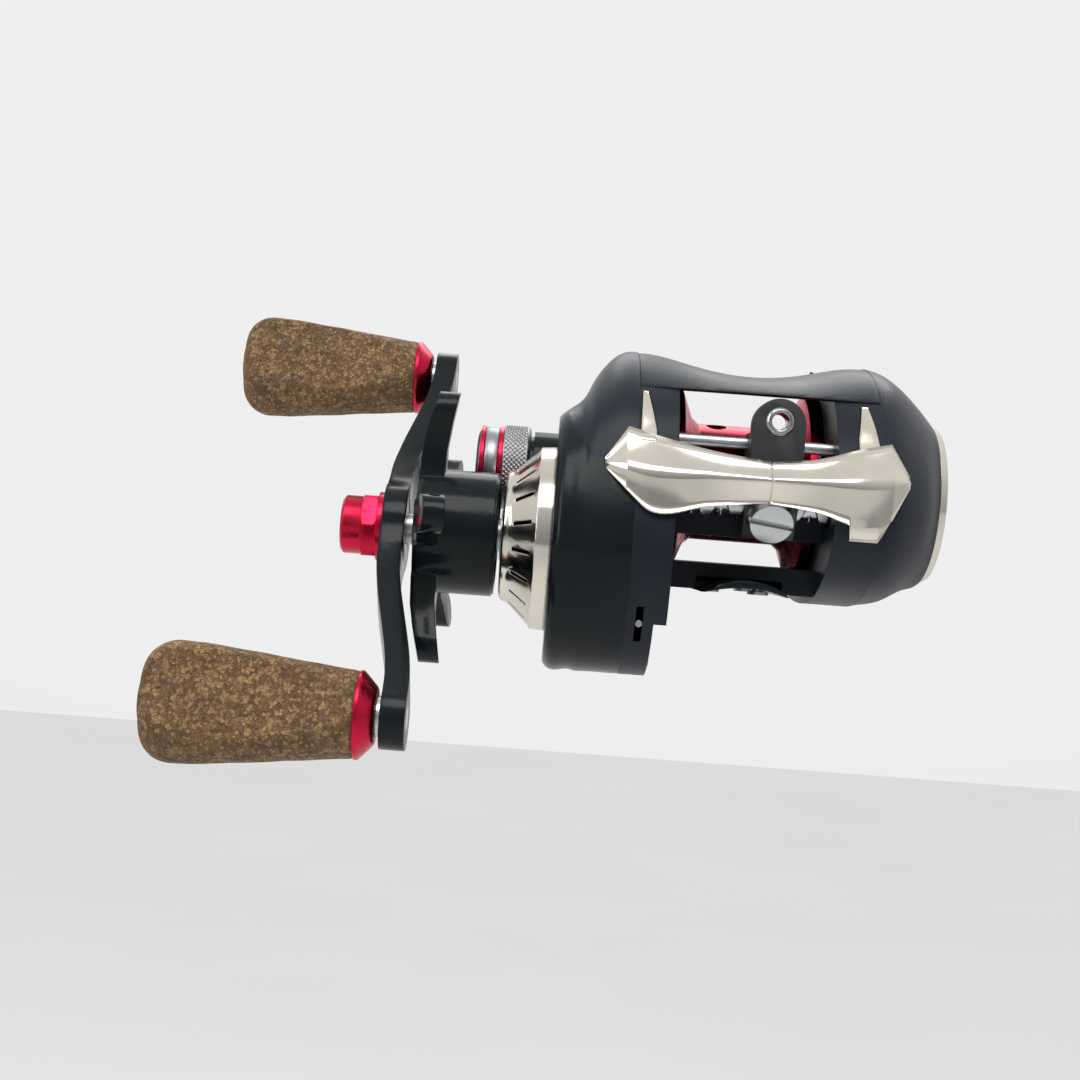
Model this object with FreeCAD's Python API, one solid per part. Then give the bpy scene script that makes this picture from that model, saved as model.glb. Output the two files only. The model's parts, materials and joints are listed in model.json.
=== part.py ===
import FreeCAD, Part
import math
import os

# A low-profile baitcasting reel, in millimetres.
# +X runs from the handle side to the palm side, -Y is where the line leaves, +Z is up.
# The shapes below are laid out about the spool axis (Y = 0, Z = 0). Every solid is lifted by
# SPOOL_HEIGHT when it is written, so the part's origin is the centre of the reel foot's underside.

V = FreeCAD.Vector

# ---- driving dimensions ----
SPOOL_HEIGHT = 20.4        # spool axis above the lower edges of the reel foot
SPOOL_HALF_WIDTH = 13.0
FLANGE_R = 17.5
DRUM_R = 11.1
SHAFT_R = 1.2              # spool shaft
WALL_IN = 13.8             # inner faces of both side walls, from the middle plane
WALL_OUT = -17.0           # gear-case face of the handle-side wall
HANDLE_SEAM = -20.8        # frame meets the handle-side cover
PALM_SEAM = 22.2           # frame meets the palm-side cover
COVER_FACE = -34.6         # outer face of the handle-side cover
DIAL_FACE = 35.2           # flat seat of the brake dial on the palm-side cover
SKIN = 1.7                 # cover wall thickness
RUN = 0.05                 # radial clearance of a running fit

# ---- gear train ----
MODULE = 0.5
PRESSURE = math.radians(20)
PINION_TEETH = 11
MAIN_TEETH = 69
WIND_TEETH = 28            # level-wind drive gear on the drive shaft
WORM_TEETH = 24
DRIVE_Z = -13.2            # drive shaft below the spool axis
WORM_ANGLE = math.radians(137)   # direction from the drive shaft to the worm shaft

DRIVE_DISTANCE = MODULE * (PINION_TEETH + MAIN_TEETH) / 2
DRIVE_Y = -math.sqrt(DRIVE_DISTANCE ** 2 - DRIVE_Z ** 2)
WORM_DISTANCE = MODULE * (WIND_TEETH + WORM_TEETH) / 2
WORM_Y = DRIVE_Y + WORM_DISTANCE * math.cos(WORM_ANGLE)
WORM_Z = DRIVE_Z + WORM_DISTANCE * math.sin(WORM_ANGLE)

# ---- handle ----
KNOB_RADIUS = 44.05        # knob axis from the drive shaft
HANDLE_ANGLE = 44.4        # degrees up from the rear, knob-to-knob line
ARM_THICKNESS = 4.1
ARM_FACE = -65.0           # outer face of the arm at its hub
ARM_SWEEP = 5.0            # how far the arm ends bend back towards the body
GRIP_START = -64.0
GRIP_LENGTH = 34.7
SPINDLE_R = 2.0
STAR_ANGLE = 29.0
STAR_R = 25.5

# ---- level wind ----
GUIDE_X = 3.2              # line guide's place along the worm
GUIDE_WIDTH = 9.1
EYE_Z = 9.9
EYE_BORE_R = 1.42
ROD_Y = -24.5
ROD_Z = 6.2
ROD_R = 1.1
PAWL_TILT = math.radians(31)

# ---- rear clutch ----
THUMB_TRAVEL = 4.0
YOKE_TRAVEL = 1.5


# ---- helpers: every turned part of the reel lies along X ----
CAP_BOSS_END = -46.0       # outer end of the threaded boss under the cast control cap
PINION_WAIST = (-25.2, -24.0)  # groove in the pinion that the yoke holds
YOKE_POSTS = [(3.2, 7.4), (3.2, -7.4)]  # posts that the yoke slides on
POST_END = -27.7
YOKE_X = -25.1             # inner face of the yoke at rest


def rod(radius, x0, x1, y=0.0, z=0.0):
    return Part.makeCylinder(radius, x1 - x0, V(x0, y, z), V(1, 0, 0))


def tube(outer, inner, x0, x1, y=0.0, z=0.0):
    return rod(outer, x0, x1, y, z).cut(rod(inner, x0 - 1, x1 + 1, y, z))


def block(x0, x1, y0, y1, z0, z1):
    return Part.makeBox(x1 - x0, y1 - y0, z1 - z0, V(x0, y0, z0))


def turned(profile, y=0.0, z=0.0):
    """Revolve (x, radius) points about the line Y = y, Z = z."""
    points = [V(x, y, z + r) for x, r in profile]
    face = Part.Face(Part.makePolygon(points + points[:1]))
    return face.revolve(V(0, y, z), V(1, 0, 0), 360)


def prism(points, x0, x1):
    """Straight-sided (Y, Z) outline drawn out from x0 to x1."""
    corners = [V(x0, y, z) for y, z in points]
    return Part.Face(Part.makePolygon(corners + corners[:1])).extrude(V(x1 - x0, 0, 0))


def front_prism(points, y0, y1):
    """Straight-sided (X, Z) outline drawn out from y0 to y1."""
    corners = [V(x, y0, z) for x, z in points]
    return Part.Face(Part.makePolygon(corners + corners[:1])).extrude(V(0, y1 - y0, 0))


def smooth_wire(points, x):
    """Closed smooth curve through (Y, Z) points in the plane X = x."""
    curve = Part.BSplineCurve()
    curve.interpolate(Points=[V(x, y, z) for y, z in points], PeriodicFlag=True)
    return Part.Wire(curve.toShape())


def smooth_prism(points, x0, x1):
    return Part.Face(smooth_wire(points, x0)).extrude(V(x1 - x0, 0, 0))


def smooth_loft(sections):
    """Solid through a list of (x, outline) sections."""
    return Part.makeLoft([smooth_wire(points, x) for x, points in sections], True, False)


def inset(points, depth):
    """Move an anticlockwise outline inwards by depth."""
    moved = []
    count = len(points)
    for i, (y, z) in enumerate(points):
        before = points[i - 1]
        after = points[(i + 1) % count]
        run_y = after[0] - before[0]
        run_z = after[1] - before[1]
        length = math.hypot(run_y, run_z)
        moved.append((y - run_z / length * depth, z + run_y / length * depth))
    return moved


def mix(first, second, share):
    return [(a[0] + (b[0] - a[0]) * share, a[1] + (b[1] - a[1]) * share)
            for a, b in zip(first, second)]


def joined(shapes):
    return shapes[0].multiFuse(shapes[1:]).removeSplitter()


def group(shapes):
    return Part.makeCompound(shapes)


def largest(shape):
    """Keep the main solid where a cut leaves a stray sliver beside it."""
    return max(shape.Solids, key=lambda solid: solid.Volume)


def turned_about_drive(shape, degrees):
    copy = shape.copy()
    copy.rotate(V(0, DRIVE_Y, DRIVE_Z), V(1, 0, 0), degrees)
    return copy


def spur_gear(teeth, x0, x1, y, z, toward):
    """Involute gear about an X axis, with a tooth centred on the angle `toward` (radians)."""
    pitch_r = MODULE * teeth / 2
    base_r = pitch_r * math.cos(PRESSURE)
    tip_r = pitch_r + 0.8 * MODULE
    root_r = pitch_r - 1.1 * MODULE
    backlash = 0.07
    half_at_pitch = math.pi / (2 * teeth) - backlash / pitch_r

    def involute(angle):
        return math.tan(angle) - angle

    def half_width(radius):
        angle = math.acos(min(1.0, base_r / radius))
        return half_at_pitch + involute(PRESSURE) - involute(angle)

    radii = [root_r, max(base_r, root_r + 0.05), pitch_r, (pitch_r + tip_r) / 2, tip_r]
    corners = []
    for i in range(teeth):
        centre = toward + 2 * math.pi * i / teeth
        for radius in radii:
            angle = centre - half_width(radius)
            corners.append((y + radius * math.cos(angle), z + radius * math.sin(angle)))
        for radius in reversed(radii):
            angle = centre + half_width(radius)
            corners.append((y + radius * math.cos(angle), z + radius * math.sin(angle)))
    return prism(corners, x0, x1)


# ---- side outlines, anticlockwise from the rear, as (Y, Z) ----
LOBE_HALF_Y = 20.2
LOBE_HALF_Z = 23.6


def lobe_point(degrees, shrink=0.0):
    """Point on the round gear case about the drive shaft."""
    angle = math.radians(degrees)
    return (DRIVE_Y + (LOBE_HALF_Y - shrink) * math.cos(angle),
            DRIVE_Z + (LOBE_HALF_Z - shrink) * math.sin(angle))


BACK_AND_TOP = [(24.0, -3.5), (23.2, 5.5), (18.8, 14.5), (11.0, 21.2), (1.0, 23.6),
                (-10.0, 22.3), (-20.5, 17.0), (-28.0, 9.5)]
PALM_OUTLINE = BACK_AND_TOP + [(-32.4, 2.2), (-33.2, -4.5), (-29.5, -12.5), (-20.0, -19.0),
                               (-8.0, -21.6), (4.0, -21.7), (14.0, -19.8), (21.3, -13.0)]
HANDLE_OUTLINE = (BACK_AND_TOP + [lobe_point(a) for a in (150, 172, 196, 220, 244, 268, 292, 316)]
                  + [(8.5, -22.5), (17.0, -16.0), (22.0, -10.0)])


def matching_lobe(points, shrink=0.0):
    """The gear-case outline, sampled in the direction of each outline point."""
    matched = []
    for y, z in points:
        degrees = math.degrees(math.atan2((z - DRIVE_Z) / LOBE_HALF_Z, (y - DRIVE_Y) / LOBE_HALF_Y))
        matched.append(lobe_point(degrees, shrink))
    return matched


def matching_disc(points, centre_y, centre_z, radius):
    matched = []
    for y, z in points:
        angle = math.atan2(z - centre_z, y - centre_y)
        matched.append((centre_y + radius * math.cos(angle), centre_z + radius * math.sin(angle)))
    return matched


# ---- reel foot ----
FOOT_HALF_WIDTH = 7.8
FOOT_HALF_LENGTH = 31.0
FOOT_TOP = -17.9
RIVET_PLACES = [(x, y) for x in (-4.6, 4.6) for y in (-10.0, 10.0)]


def reel_foot():
    """Saddle plate: arched tongues fore and aft, a flat-topped seat in the middle."""
    arch_r = 13.4
    under_r = 22.0
    arch = Part.makeCylinder(arch_r, 2 * FOOT_HALF_LENGTH,
                             V(0, -FOOT_HALF_LENGTH, FOOT_TOP - arch_r), V(0, 1, 0))
    outline = block(-FOOT_HALF_WIDTH, FOOT_HALF_WIDTH, -FOOT_HALF_LENGTH, FOOT_HALF_LENGTH,
                    -SPOOL_HEIGHT, FOOT_TOP)
    plate = outline.common(arch)
    seat = block(-FOOT_HALF_WIDTH, FOOT_HALF_WIDTH, -14.0, 14.0, -SPOOL_HEIGHT, FOOT_TOP)
    hollow = Part.makeCylinder(under_r, 2 * FOOT_HALF_LENGTH + 2,
                               V(0, -FOOT_HALF_LENGTH - 1, FOOT_TOP - 1.3 - under_r), V(0, 1, 0))
    tips = [Part.makeCylinder(10.5, 10, V(0, s * (FOOT_HALF_LENGTH - 10.5), -25)) for s in (-1, 1)]
    middle = block(-FOOT_HALF_WIDTH, FOOT_HALF_WIDTH, -FOOT_HALF_LENGTH + 10.5,
                   FOOT_HALF_LENGTH - 10.5, -25, -15)
    plan = joined([middle] + tips)
    solid = joined([plate, seat]).cut(hollow).common(plan)
    for x, y in RIVET_PLACES:
        solid = solid.cut(Part.makeCylinder(1.2, 8, V(x, y, -24)))
        solid = solid.cut(Part.makeCylinder(2.0, 4, V(x, y, -24)))
    return solid


def foot_rivets():
    rivets = []
    for x, y in RIVET_PLACES:
        shank = Part.makeCylinder(1.2, 4.2, V(x, y, -20.0))
        head = Part.makeCylinder(2.0, 0.7, V(x, y, -20.7))
        rivets.append(joined([shank, head]))
    return group(rivets)


# ---- frame ----
# Hood stations: X, then front, middle and rear points (Y, Z) of its outer face, and thickness
HOOD_STATIONS = [(-20.7, (-22.9, 15.2), (-9.0, 22.5), (13.0, 20.1), 2.0),
                 (-13.8, (-23.2, 15.2), (-11.5, 21.2), (5.5, 21.6), 2.0),
                 (-7.0, (-23.5, 15.2), (-13.5, 19.6), (-0.5, 20.4), 1.9),
                 (0.5, (-23.6, 15.2), (-14.0, 19.0), (-2.0, 19.7), 1.9),
                 (8.0, (-23.5, 15.2), (-13.5, 19.6), (-0.5, 20.4), 1.9),
                 (15.0, (-23.2, 15.2), (-11.5, 21.2), (5.5, 21.6), 2.0),
                 (PALM_SEAM - 0.1, (-22.9, 15.2), (-9.0, 22.5), (13.0, 20.1), 2.0)]


def hood_section(x, front, middle, rear, thickness, grow):
    """Strip over the spool, thickness deep, or reaching grow further out for the frame's relief."""
    outer = [V(x, y, z + grow) for y, z in (front, middle, rear)]
    inner = [V(x, front[0] + 0.9 * thickness, front[1] - 0.2),
             V(x, middle[0] + 0.45 * thickness, middle[1] - 0.9 * thickness),
             V(x, rear[0] - 0.1, rear[1] - thickness)]
    edges = [Part.Arc(*outer).toShape(),
             Part.makeLine(outer[2], inner[2]),
             Part.Arc(inner[2], inner[1], inner[0]).toShape(),
             Part.makeLine(inner[0], outer[0])]
    return Part.Wire(edges)


def hood_shape(grow):
    return Part.makeLoft([hood_section(*station, grow) for station in HOOD_STATIONS], True, False)


def top_hood():
    return hood_shape(0.0)


HANDLE_SCREWS = [(-15.0, -34.0), (2.5, 17.0), (13.5, -12.0)]
PALM_SCREWS = [(20.9, -2.0), (14.6, 14.5), (12.0, -17.0)]


def handle_wall():
    full = smooth_prism(HANDLE_OUTLINE, HANDLE_SEAM, -16.0)
    step = smooth_prism(HANDLE_OUTLINE, -16.0, -WALL_IN).common(block(-17, -13, -50, 50, -26.6, 40))
    pocket = smooth_prism(inset(HANDLE_OUTLINE, 2.0), HANDLE_SEAM - 1, WALL_OUT)
    wall = joined([full, step]).cut(pocket)
    wall = joined([wall] + [rod(2.3, HANDLE_SEAM, WALL_OUT, y, z) for y, z in HANDLE_SCREWS])
    wall = joined([wall] + [rod(0.9, POST_END, WALL_OUT, y, z) for y, z in YOKE_POSTS])
    wall = joined([wall] + [rod(1.6, POST_END, POST_END + 0.5, y, z) for y, z in YOKE_POSTS])
    cuts = [rod(5.0, WALL_OUT - 1, -14.5),
            rod(4.2, -15, -13),
            rod(4.5, WALL_OUT - 1, -14.5, DRIVE_Y, DRIVE_Z),
            rod(3.6, WALL_OUT - 1, -13, WORM_Y, WORM_Z),
            rod(ROD_R, -16.4, -13, ROD_Y, ROD_Z),
            block(-18, -13, 19.2, 23.0, -9.2, 3.2),
            block(-19.2, -17.9, -40, -25, -29.8, -23.6)]
    cuts += [rod(1.0, HANDLE_SEAM - 1, -15.0, y, z) for y, z in HANDLE_SCREWS]
    return wall.cut(group(cuts))


def palm_ring():
    ring = smooth_prism(PALM_OUTLINE, WALL_IN, PALM_SEAM)
    cuts = [rod(18.3, WALL_IN - 1, PALM_SEAM + 1),
            rod(3.6, WALL_IN - 1, 17.0, WORM_Y, WORM_Z),
            rod(ROD_R, WALL_IN - 1, 16.4, ROD_Y, ROD_Z)]
    cuts += [rod(1.0, 17.4, PALM_SEAM + 1, y, z) for y, z in PALM_SCREWS]
    return ring.cut(group(cuts))


def frame_floor():
    """Deck under the spool, raised in the middle where the reel foot is set in from below."""
    deck = block(-WALL_IN, WALL_IN, -17.0, 17.0, -20.2, -15.4)
    cuts = [rod(15.9, -10.6, 10.6),
            rod(18.1, -WALL_IN, -10.6),
            rod(18.1, 10.6, WALL_IN),
            block(-FOOT_HALF_WIDTH, FOOT_HALF_WIDTH, -18, 18, -25, FOOT_TOP)]
    cuts += [Part.makeCylinder(1.2, 3, V(x, y, -18.5)) for x, y in RIVET_PLACES]
    return deck.cut(group(cuts))


def frame():
    front_bar = block(-WALL_IN, WALL_IN, -20.0, -17.4, -10.4, -4.9)
    rear_bar = block(-WALL_IN, WALL_IN, 17.0, 25.0, -10.2, -7.6)
    rear_bar = rear_bar.common(smooth_prism(PALM_OUTLINE, -WALL_IN, WALL_IN)).cut(rod(18.1, -14, 14))
    solid = joined([handle_wall(), palm_ring(), frame_floor(), front_bar, rear_bar])
    solid = solid.cut(hood_shape(0.0)).cut(hood_shape(3.0)).cut(brow_cover())
    return largest(solid)


def notch_screw():
    """Small screw at the bottom of the lubrication notch."""
    return Part.makeCylinder(0.6, 2.2, V(-18.55, -31.5, -26.6), V(0, 1, 0))


# ---- front brow: a bow-tie bar with an upper and a lower facet ----
# Each station: X, top (Y, Z), ridge (Y, Z), bottom (Y, Z)
BROW_LEFT = [(-26.4, (-31.9, 1.6), (-32.6, 0.7), (-32.2, -0.2)),
             (-22.6, (-30.4, 7.3), (-34.8, 0.2), (-34.4, -3.8)),
             (-18.2, (-30.8, 6.2), (-36.2, -0.1), (-35.6, -7.3)),
             (-8.0, (-33.6, 3.9), (-36.8, -0.3), (-35.6, -5.6)),
             (2.0, (-34.3, 2.7), (-37.2, -0.5), (-34.4, -4.4))]
BROW_RIGHT = [(2.0, (-34.3, 2.7), (-37.2, -0.5), (-34.4, -4.4)),
              (10.0, (-33.6, 3.8), (-36.8, -0.1), (-35.6, -5.4)),
              (18.0, (-31.2, 6.3), (-36.2, 0.4), (-35.2, -7.4)),
              (23.0, (-30.2, 7.5), (-34.4, 0.8), (-33.4, -6.5)),
              (26.2, (-31.6, 2.0), (-32.4, 1.0), (-31.8, 0.0))]


LIP = 0.8                  # thickness of the brow's upper and lower edges
BROW_DEPTH = 3.0           # thickness behind its ridge


def brow_half(stations):
    wires = []
    for x, top, ridge, bottom in stations:
        corners = [top, ridge, bottom, (bottom[0] + LIP, bottom[1] + 0.4),
                   (ridge[0] + BROW_DEPTH, ridge[1]), (top[0] + LIP, top[1] - 0.4)]
        points = [V(x, y, z) for y, z in corners]
        wires.append(Part.makePolygon(points + points[:1]))
    return Part.makeLoft(wires, True, True)


def brow_fin(x0, x1, peak_x0, peak_x1):
    """Pointed fin that rises beside the line opening, following the nose."""
    strip = prism([(-32.4, 4.0), (-30.4, 6.6), (-27.4, 11.0), (-24.3, 14.2), (-23.2, 13.2),
                   (-26.0, 10.0), (-29.0, 5.8), (-30.6, 4.0)], x0, x1)
    shape = front_prism([(x0, 3.0), (x1, 3.0), (x1, 7.0), (peak_x1, 14.2), (peak_x0, 14.2), (x0, 8.0)],
                        -40, -20)
    return strip.common(shape)


def brow_cover():
    tab = prism([(-35.2, -5.5), (-34.4, -9.9), (-32.6, -9.9), (-33.4, -5.5)], 17.6, PALM_SEAM - 0.1)
    parts = [brow_half(BROW_LEFT), brow_half(BROW_RIGHT),
             brow_fin(-20.6, -17.6, -20.4, -19.2), brow_fin(17.3, 21.2, 18.4, 19.8), tab]
    return joined(parts)


# ---- handle-side cover ----
DOME = [(-20.8, 0.0), (-23.9, 0.04), (-26.6, 0.22), (-28.9, 0.50), (-31.3, 0.84), (-33.3, 0.99)]


def handle_cover_outer():
    lobe = matching_lobe(HANDLE_OUTLINE)
    sections = [(x, mix(HANDLE_OUTLINE, lobe, share)) for x, share in DOME]
    sections.append((COVER_FACE, matching_lobe(HANDLE_OUTLINE, 1.2)))
    return smooth_loft(sections)


def handle_cover_inner():
    lobe = matching_lobe(HANDLE_OUTLINE)
    sections = []
    for x, share in DOME:
        section = inset(mix(HANDLE_OUTLINE, lobe, share), SKIN)
        sections.append((x + 0.9, section))
    sections[0] = (HANDLE_SEAM + 0.2, sections[0][1])
    sections.append((COVER_FACE + SKIN, inset(lobe, SKIN + 0.6)))
    return smooth_loft(sections)


CLUTCH_BOSS_END = -42.6


def handle_side_cover():
    shell = handle_cover_outer().cut(handle_cover_inner())
    columns = [rod(2.3, -26.0, HANDLE_SEAM, y, z) for y, z in HANDLE_SCREWS]
    columns = [column.common(handle_cover_outer()) for column in columns]
    cap_boss = joined([rod(7.2, -39.0, -30.5), rod(6.2, CAP_BOSS_END, -38.0)])
    clutch_boss = rod(10.2, CLUTCH_BOSS_END, COVER_FACE + SKIN, DRIVE_Y, DRIVE_Z)
    solid = joined([shell] + columns + [cap_boss, clutch_boss])
    cuts = [rod(3.6, CAP_BOSS_END - 1, -35.9),
            rod(3.4, -36.5, -29.0),
            rod(8.4, CLUTCH_BOSS_END - 1, COVER_FACE, DRIVE_Y, DRIVE_Z),
            rod(5.4, COVER_FACE - 1, -30.0, DRIVE_Y, DRIVE_Z)]
    for y, z in HANDLE_SCREWS:
        cuts.append(rod(1.0, -40, -20, y, z))
        cuts.append(rod(1.9, -40, -24.5, y, z))
    return largest(solid.cut(group(cuts)).cut(brow_cover()))


def machine_screw(head_r, shank_r, head_x, seat_x, tip_x, y, z):
    """Slotted screw along X: head from head_x to seat_x, shank from seat_x to tip_x."""
    low, high = sorted((head_x, seat_x))
    head = rod(head_r, low, high, y, z)
    low, high = sorted((seat_x, tip_x))
    shank = rod(shank_r, low, high, y, z)
    slot_depth = math.copysign(0.5, seat_x - head_x)
    low, high = sorted((head_x, head_x + slot_depth))
    slot = block(low, high, y - head_r, y + head_r, z - 0.25, z + 0.25)
    return joined([head, shank]).cut(slot)


def handle_cover_screws():
    return group([machine_screw(1.85, 1.0, -26.0, -24.5, -15.2, y, z) for y, z in HANDLE_SCREWS])


def cover_collar():
    """Tapered bright collar round the drive shaft, slotted, relieved beside the cast-control cap."""
    cone = turned([(-43.4, 10.4), (-43.4, 11.2), (-43.0, 11.8), (-41.8, 12.2), (-37.9, 15.9),
                   (-37.4, 16.6), (COVER_FACE, 16.8), (COVER_FACE, 15.4), (-37.0, 15.0),
                   (-41.6, 10.9), (-42.6, 10.4)], DRIVE_Y, DRIVE_Z)
    slot_count = 18
    slots = []
    for i in range(slot_count):
        slot = block(-41.4, -38.3, DRIVE_Y - 0.35, DRIVE_Y + 0.35, DRIVE_Z + 11.0, DRIVE_Z + 20.0)
        slots.append(turned_about_drive(slot, 360.0 * i / slot_count))
    return cone.cut(group(slots)).cut(rod(9.0, -44, COVER_FACE))


# ---- palm-side cover ----
PALM_DOME = [(PALM_SEAM, 0.0, 1.0), (26.0, 0.05, 0.97), (29.6, 0.25, 0.92), (32.8, 0.6, 0.86),
             (34.6, 0.95, 0.84)]
DIAL_Y = -3.0
DIAL_Z = -1.4
DIAL_SEAT_R = 15.8


def palm_section(share, grow):
    disc = matching_disc(PALM_OUTLINE, DIAL_Y, DIAL_Z, DIAL_SEAT_R)
    scaled = [(DIAL_Y + (y - DIAL_Y) * grow, DIAL_Z + (z - DIAL_Z) * grow) for y, z in PALM_OUTLINE]
    return mix(scaled, disc, share)


def palm_cover_outer():
    sections = [(x, palm_section(share, grow)) for x, share, grow in PALM_DOME]
    sections.append((DIAL_FACE, matching_disc(PALM_OUTLINE, DIAL_Y, DIAL_Z, DIAL_SEAT_R - 0.4)))
    return smooth_loft(sections)


def palm_cover_inner():
    sections = [(x - 0.9, inset(palm_section(share, grow), SKIN)) for x, share, grow in PALM_DOME]
    sections[0] = (PALM_SEAM - 0.2, sections[0][1])
    sections.append((DIAL_FACE - SKIN, matching_disc(PALM_OUTLINE, DIAL_Y, DIAL_Z, DIAL_SEAT_R - 3.0)))
    return smooth_loft(sections)


def palm_side_cover():
    shell = palm_cover_outer().cut(palm_cover_inner())
    columns = [rod(2.3, PALM_SEAM, 27.6, y, z) for y, z in PALM_SCREWS]
    columns = [column.common(palm_cover_outer()) for column in columns]
    hub = rod(5.2, 16.8, DIAL_FACE - SKIN)
    solid = joined([shell, hub] + columns)
    cuts = [rod(4.0, 16.0, 19.7),
            rod(2.4, 19.0, 30.0),
            rod(3.1, 29.0, DIAL_FACE + 1, DIAL_Y, DIAL_Z)]
    for y, z in PALM_SCREWS:
        cuts.append(rod(1.0, 20, 40, y, z))
        cuts.append(rod(1.9, 25.0, 40, y, z))
    return largest(solid.cut(group(cuts)).cut(brow_cover()))


def palm_cover_screws():
    return group([machine_screw(1.85, 1.0, 26.4, 25.0, 17.6, y, z) for y, z in PALM_SCREWS])


def dial_bezel():
    return turned([(DIAL_FACE, 12.8), (36.5, 12.8), (36.8, 13.3), (36.6, 14.6), (DIAL_FACE, 15.2)],
                  DIAL_Y, DIAL_Z)


def brake_dial():
    """Cast-brake dial: scalloped disc with a raised grip bar and tick grooves."""
    disc = turned([(35.3, 0.0), (35.3, 12.6), (36.4, 12.6), (36.9, 12.0), (37.1, 0.0)], DIAL_Y, DIAL_Z)
    bar = block(36.8, 37.9, DIAL_Y - 1.4, DIAL_Y + 1.4, DIAL_Z - 9.5, DIAL_Z + 9.5)
    ends = [rod(1.4, 36.8, 37.9, DIAL_Y, DIAL_Z + s * 9.5) for s in (-1, 1)]
    stem = rod(3.0, 32.0, 35.5, DIAL_Y, DIAL_Z)
    solid = joined([disc, bar, stem] + ends)
    ticks = []
    for i in range(11):
        angle = math.radians(-150 + 12 * i)
        tick = block(36.3, 37.4, DIAL_Y + 10.3, DIAL_Y + 11.9, DIAL_Z - 0.2, DIAL_Z + 0.2)
        tick.rotate(V(0, DIAL_Y, DIAL_Z), V(1, 0, 0), math.degrees(angle))
        ticks.append(tick)
    return solid.cut(group(ticks))


MAGNET_COUNT = 8
MAGNET_RING_R = 10.2


def magnet_place(i):
    angle = 2 * math.pi * i / MAGNET_COUNT
    return MAGNET_RING_R * math.cos(angle), MAGNET_RING_R * math.sin(angle)


def magnet_holder():
    plate = tube(13.2, 5.3, 18.6, 20.4)
    sleeve = tube(6.5, 5.3, 20.4, 25.0)
    pockets = [rod(1.8, 17.0, 19.6, *magnet_place(i)) for i in range(MAGNET_COUNT)]
    return joined([plate, sleeve]).cut(group(pockets))


def brake_magnets():
    return group([rod(1.8, 17.4, 19.6, *magnet_place(i)) for i in range(MAGNET_COUNT)])


# ---- bearings and bushes ----
def ball_bearing(outer, inner, x0, x1, y=0.0, z=0.0):
    """Shielded bearing: two races with a recessed shield between them on each face."""
    body = tube(outer, inner, x0, x1, y, z)
    span = outer - inner
    for low, high in ((x0 - 1, x0 + 0.2), (x1 - 0.2, x1 + 1)):
        body = body.cut(tube(outer - 0.25 * span, inner + 0.25 * span, low, high, y, z))
    return body


def pinion_bearing():
    return ball_bearing(5.0, 2.6 + RUN, WALL_OUT, -14.5)


def drive_shaft_bearing():
    return ball_bearing(4.5, 2.0 + RUN, WALL_OUT, -14.5, DRIVE_Y, DRIVE_Z)


def spool_bearing_handle():
    return ball_bearing(3.6, SHAFT_R + RUN, -38.4, -35.9)


def spool_bearing_palm():
    return ball_bearing(4.0, SHAFT_R + RUN, 16.9, 19.7)


def one_way_clutch():
    return ball_bearing(8.4, 4.6 + RUN, -42.2, COVER_FACE, DRIVE_Y, DRIVE_Z)


def worm_bushings():
    return group([tube(3.6, 2.0 + RUN, WALL_OUT, -14.2, WORM_Y, WORM_Z),
                  tube(3.6, 2.0 + RUN, 14.2, 17.0, WORM_Y, WORM_Z)])


# ---- spool ----
def spool():
    """One-piece spool: drilled drum between two flanges with coned inner faces."""
    w = SPOOL_HALF_WIDTH
    solid = turned([(-w, SHAFT_R), (-w, 4.5), (-w + 1.2, 5.5), (-w + 1.2, 15.6), (-w, 16.2),
                    (-w, FLANGE_R), (-w + 1.5, FLANGE_R), (-w + 1.9, 16.6), (-w + 3.6, 12.3),
                    (-w + 5.0, DRUM_R), (w - 5.0, DRUM_R), (w - 3.6, 12.3), (w - 1.9, 16.6),
                    (w - 1.5, FLANGE_R), (w, FLANGE_R), (w, 16.2), (w - 1.2, 15.6), (w - 1.2, 5.5),
                    (w, 4.5), (w, SHAFT_R)])
    hollow = [tube(10.0, 3.2, -w + 2.6, -0.6), tube(10.0, 3.2, 0.6, w - 2.6)]
    holes = []
    hole_count = 8
    for x in (-4.6, 4.6):
        for i in range(hole_count):
            angle = 2 * math.pi * i / hole_count + 0.3
            direction = V(0, math.cos(angle), math.sin(angle))
            holes.append(Part.makeCylinder(1.9, 4.0, V(x, 0, 0) + direction * 8.5, direction))
    return solid.cut(group(hollow)).cut(group(holes))


def spool_shaft():
    shaft = rod(SHAFT_R, -39.4, 20.6)
    return shaft.cut(Part.makeCylinder(0.5, 10, V(-14.4, 0, -5), V(0, 0, 1)))


def spool_pin():
    return Part.makeCylinder(0.5, 4.6, V(-14.4, 0, -2.3), V(0, 0, 1))


# ---- drive train ----
TO_SPOOL = math.atan2(-DRIVE_Z, -DRIVE_Y)


def main_gear():
    gear = spur_gear(MAIN_TEETH, -23.4, -20.4, DRIVE_Y, DRIVE_Z, TO_SPOOL)
    bore = rod(3.0, -30, -15, DRIVE_Y, DRIVE_Z)
    recess = rod(13.0, -30, -21.8, DRIVE_Y, DRIVE_Z)
    return gear.cut(group([bore, recess]))


def pinion():
    gap = TO_SPOOL + math.pi + math.pi / PINION_TEETH
    teeth = spur_gear(PINION_TEETH, PINION_WAIST[1], -19.8, 0.0, 0.0, gap)
    neck = joined([rod(2.15, -19.8, -17.9), rod(2.6, -18.0, -13.6)])
    waist = rod(2.15, *PINION_WAIST)
    flange = rod(3.1, PINION_WAIST[0] - 0.8, PINION_WAIST[0])
    solid = joined([teeth, neck, waist, flange])
    bore = rod(SHAFT_R + 0.1, -40, -10)
    slot = block(-15.2, -13.0, -0.6, 0.6, -4, 4)
    return solid.cut(group([bore, slot]))


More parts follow.
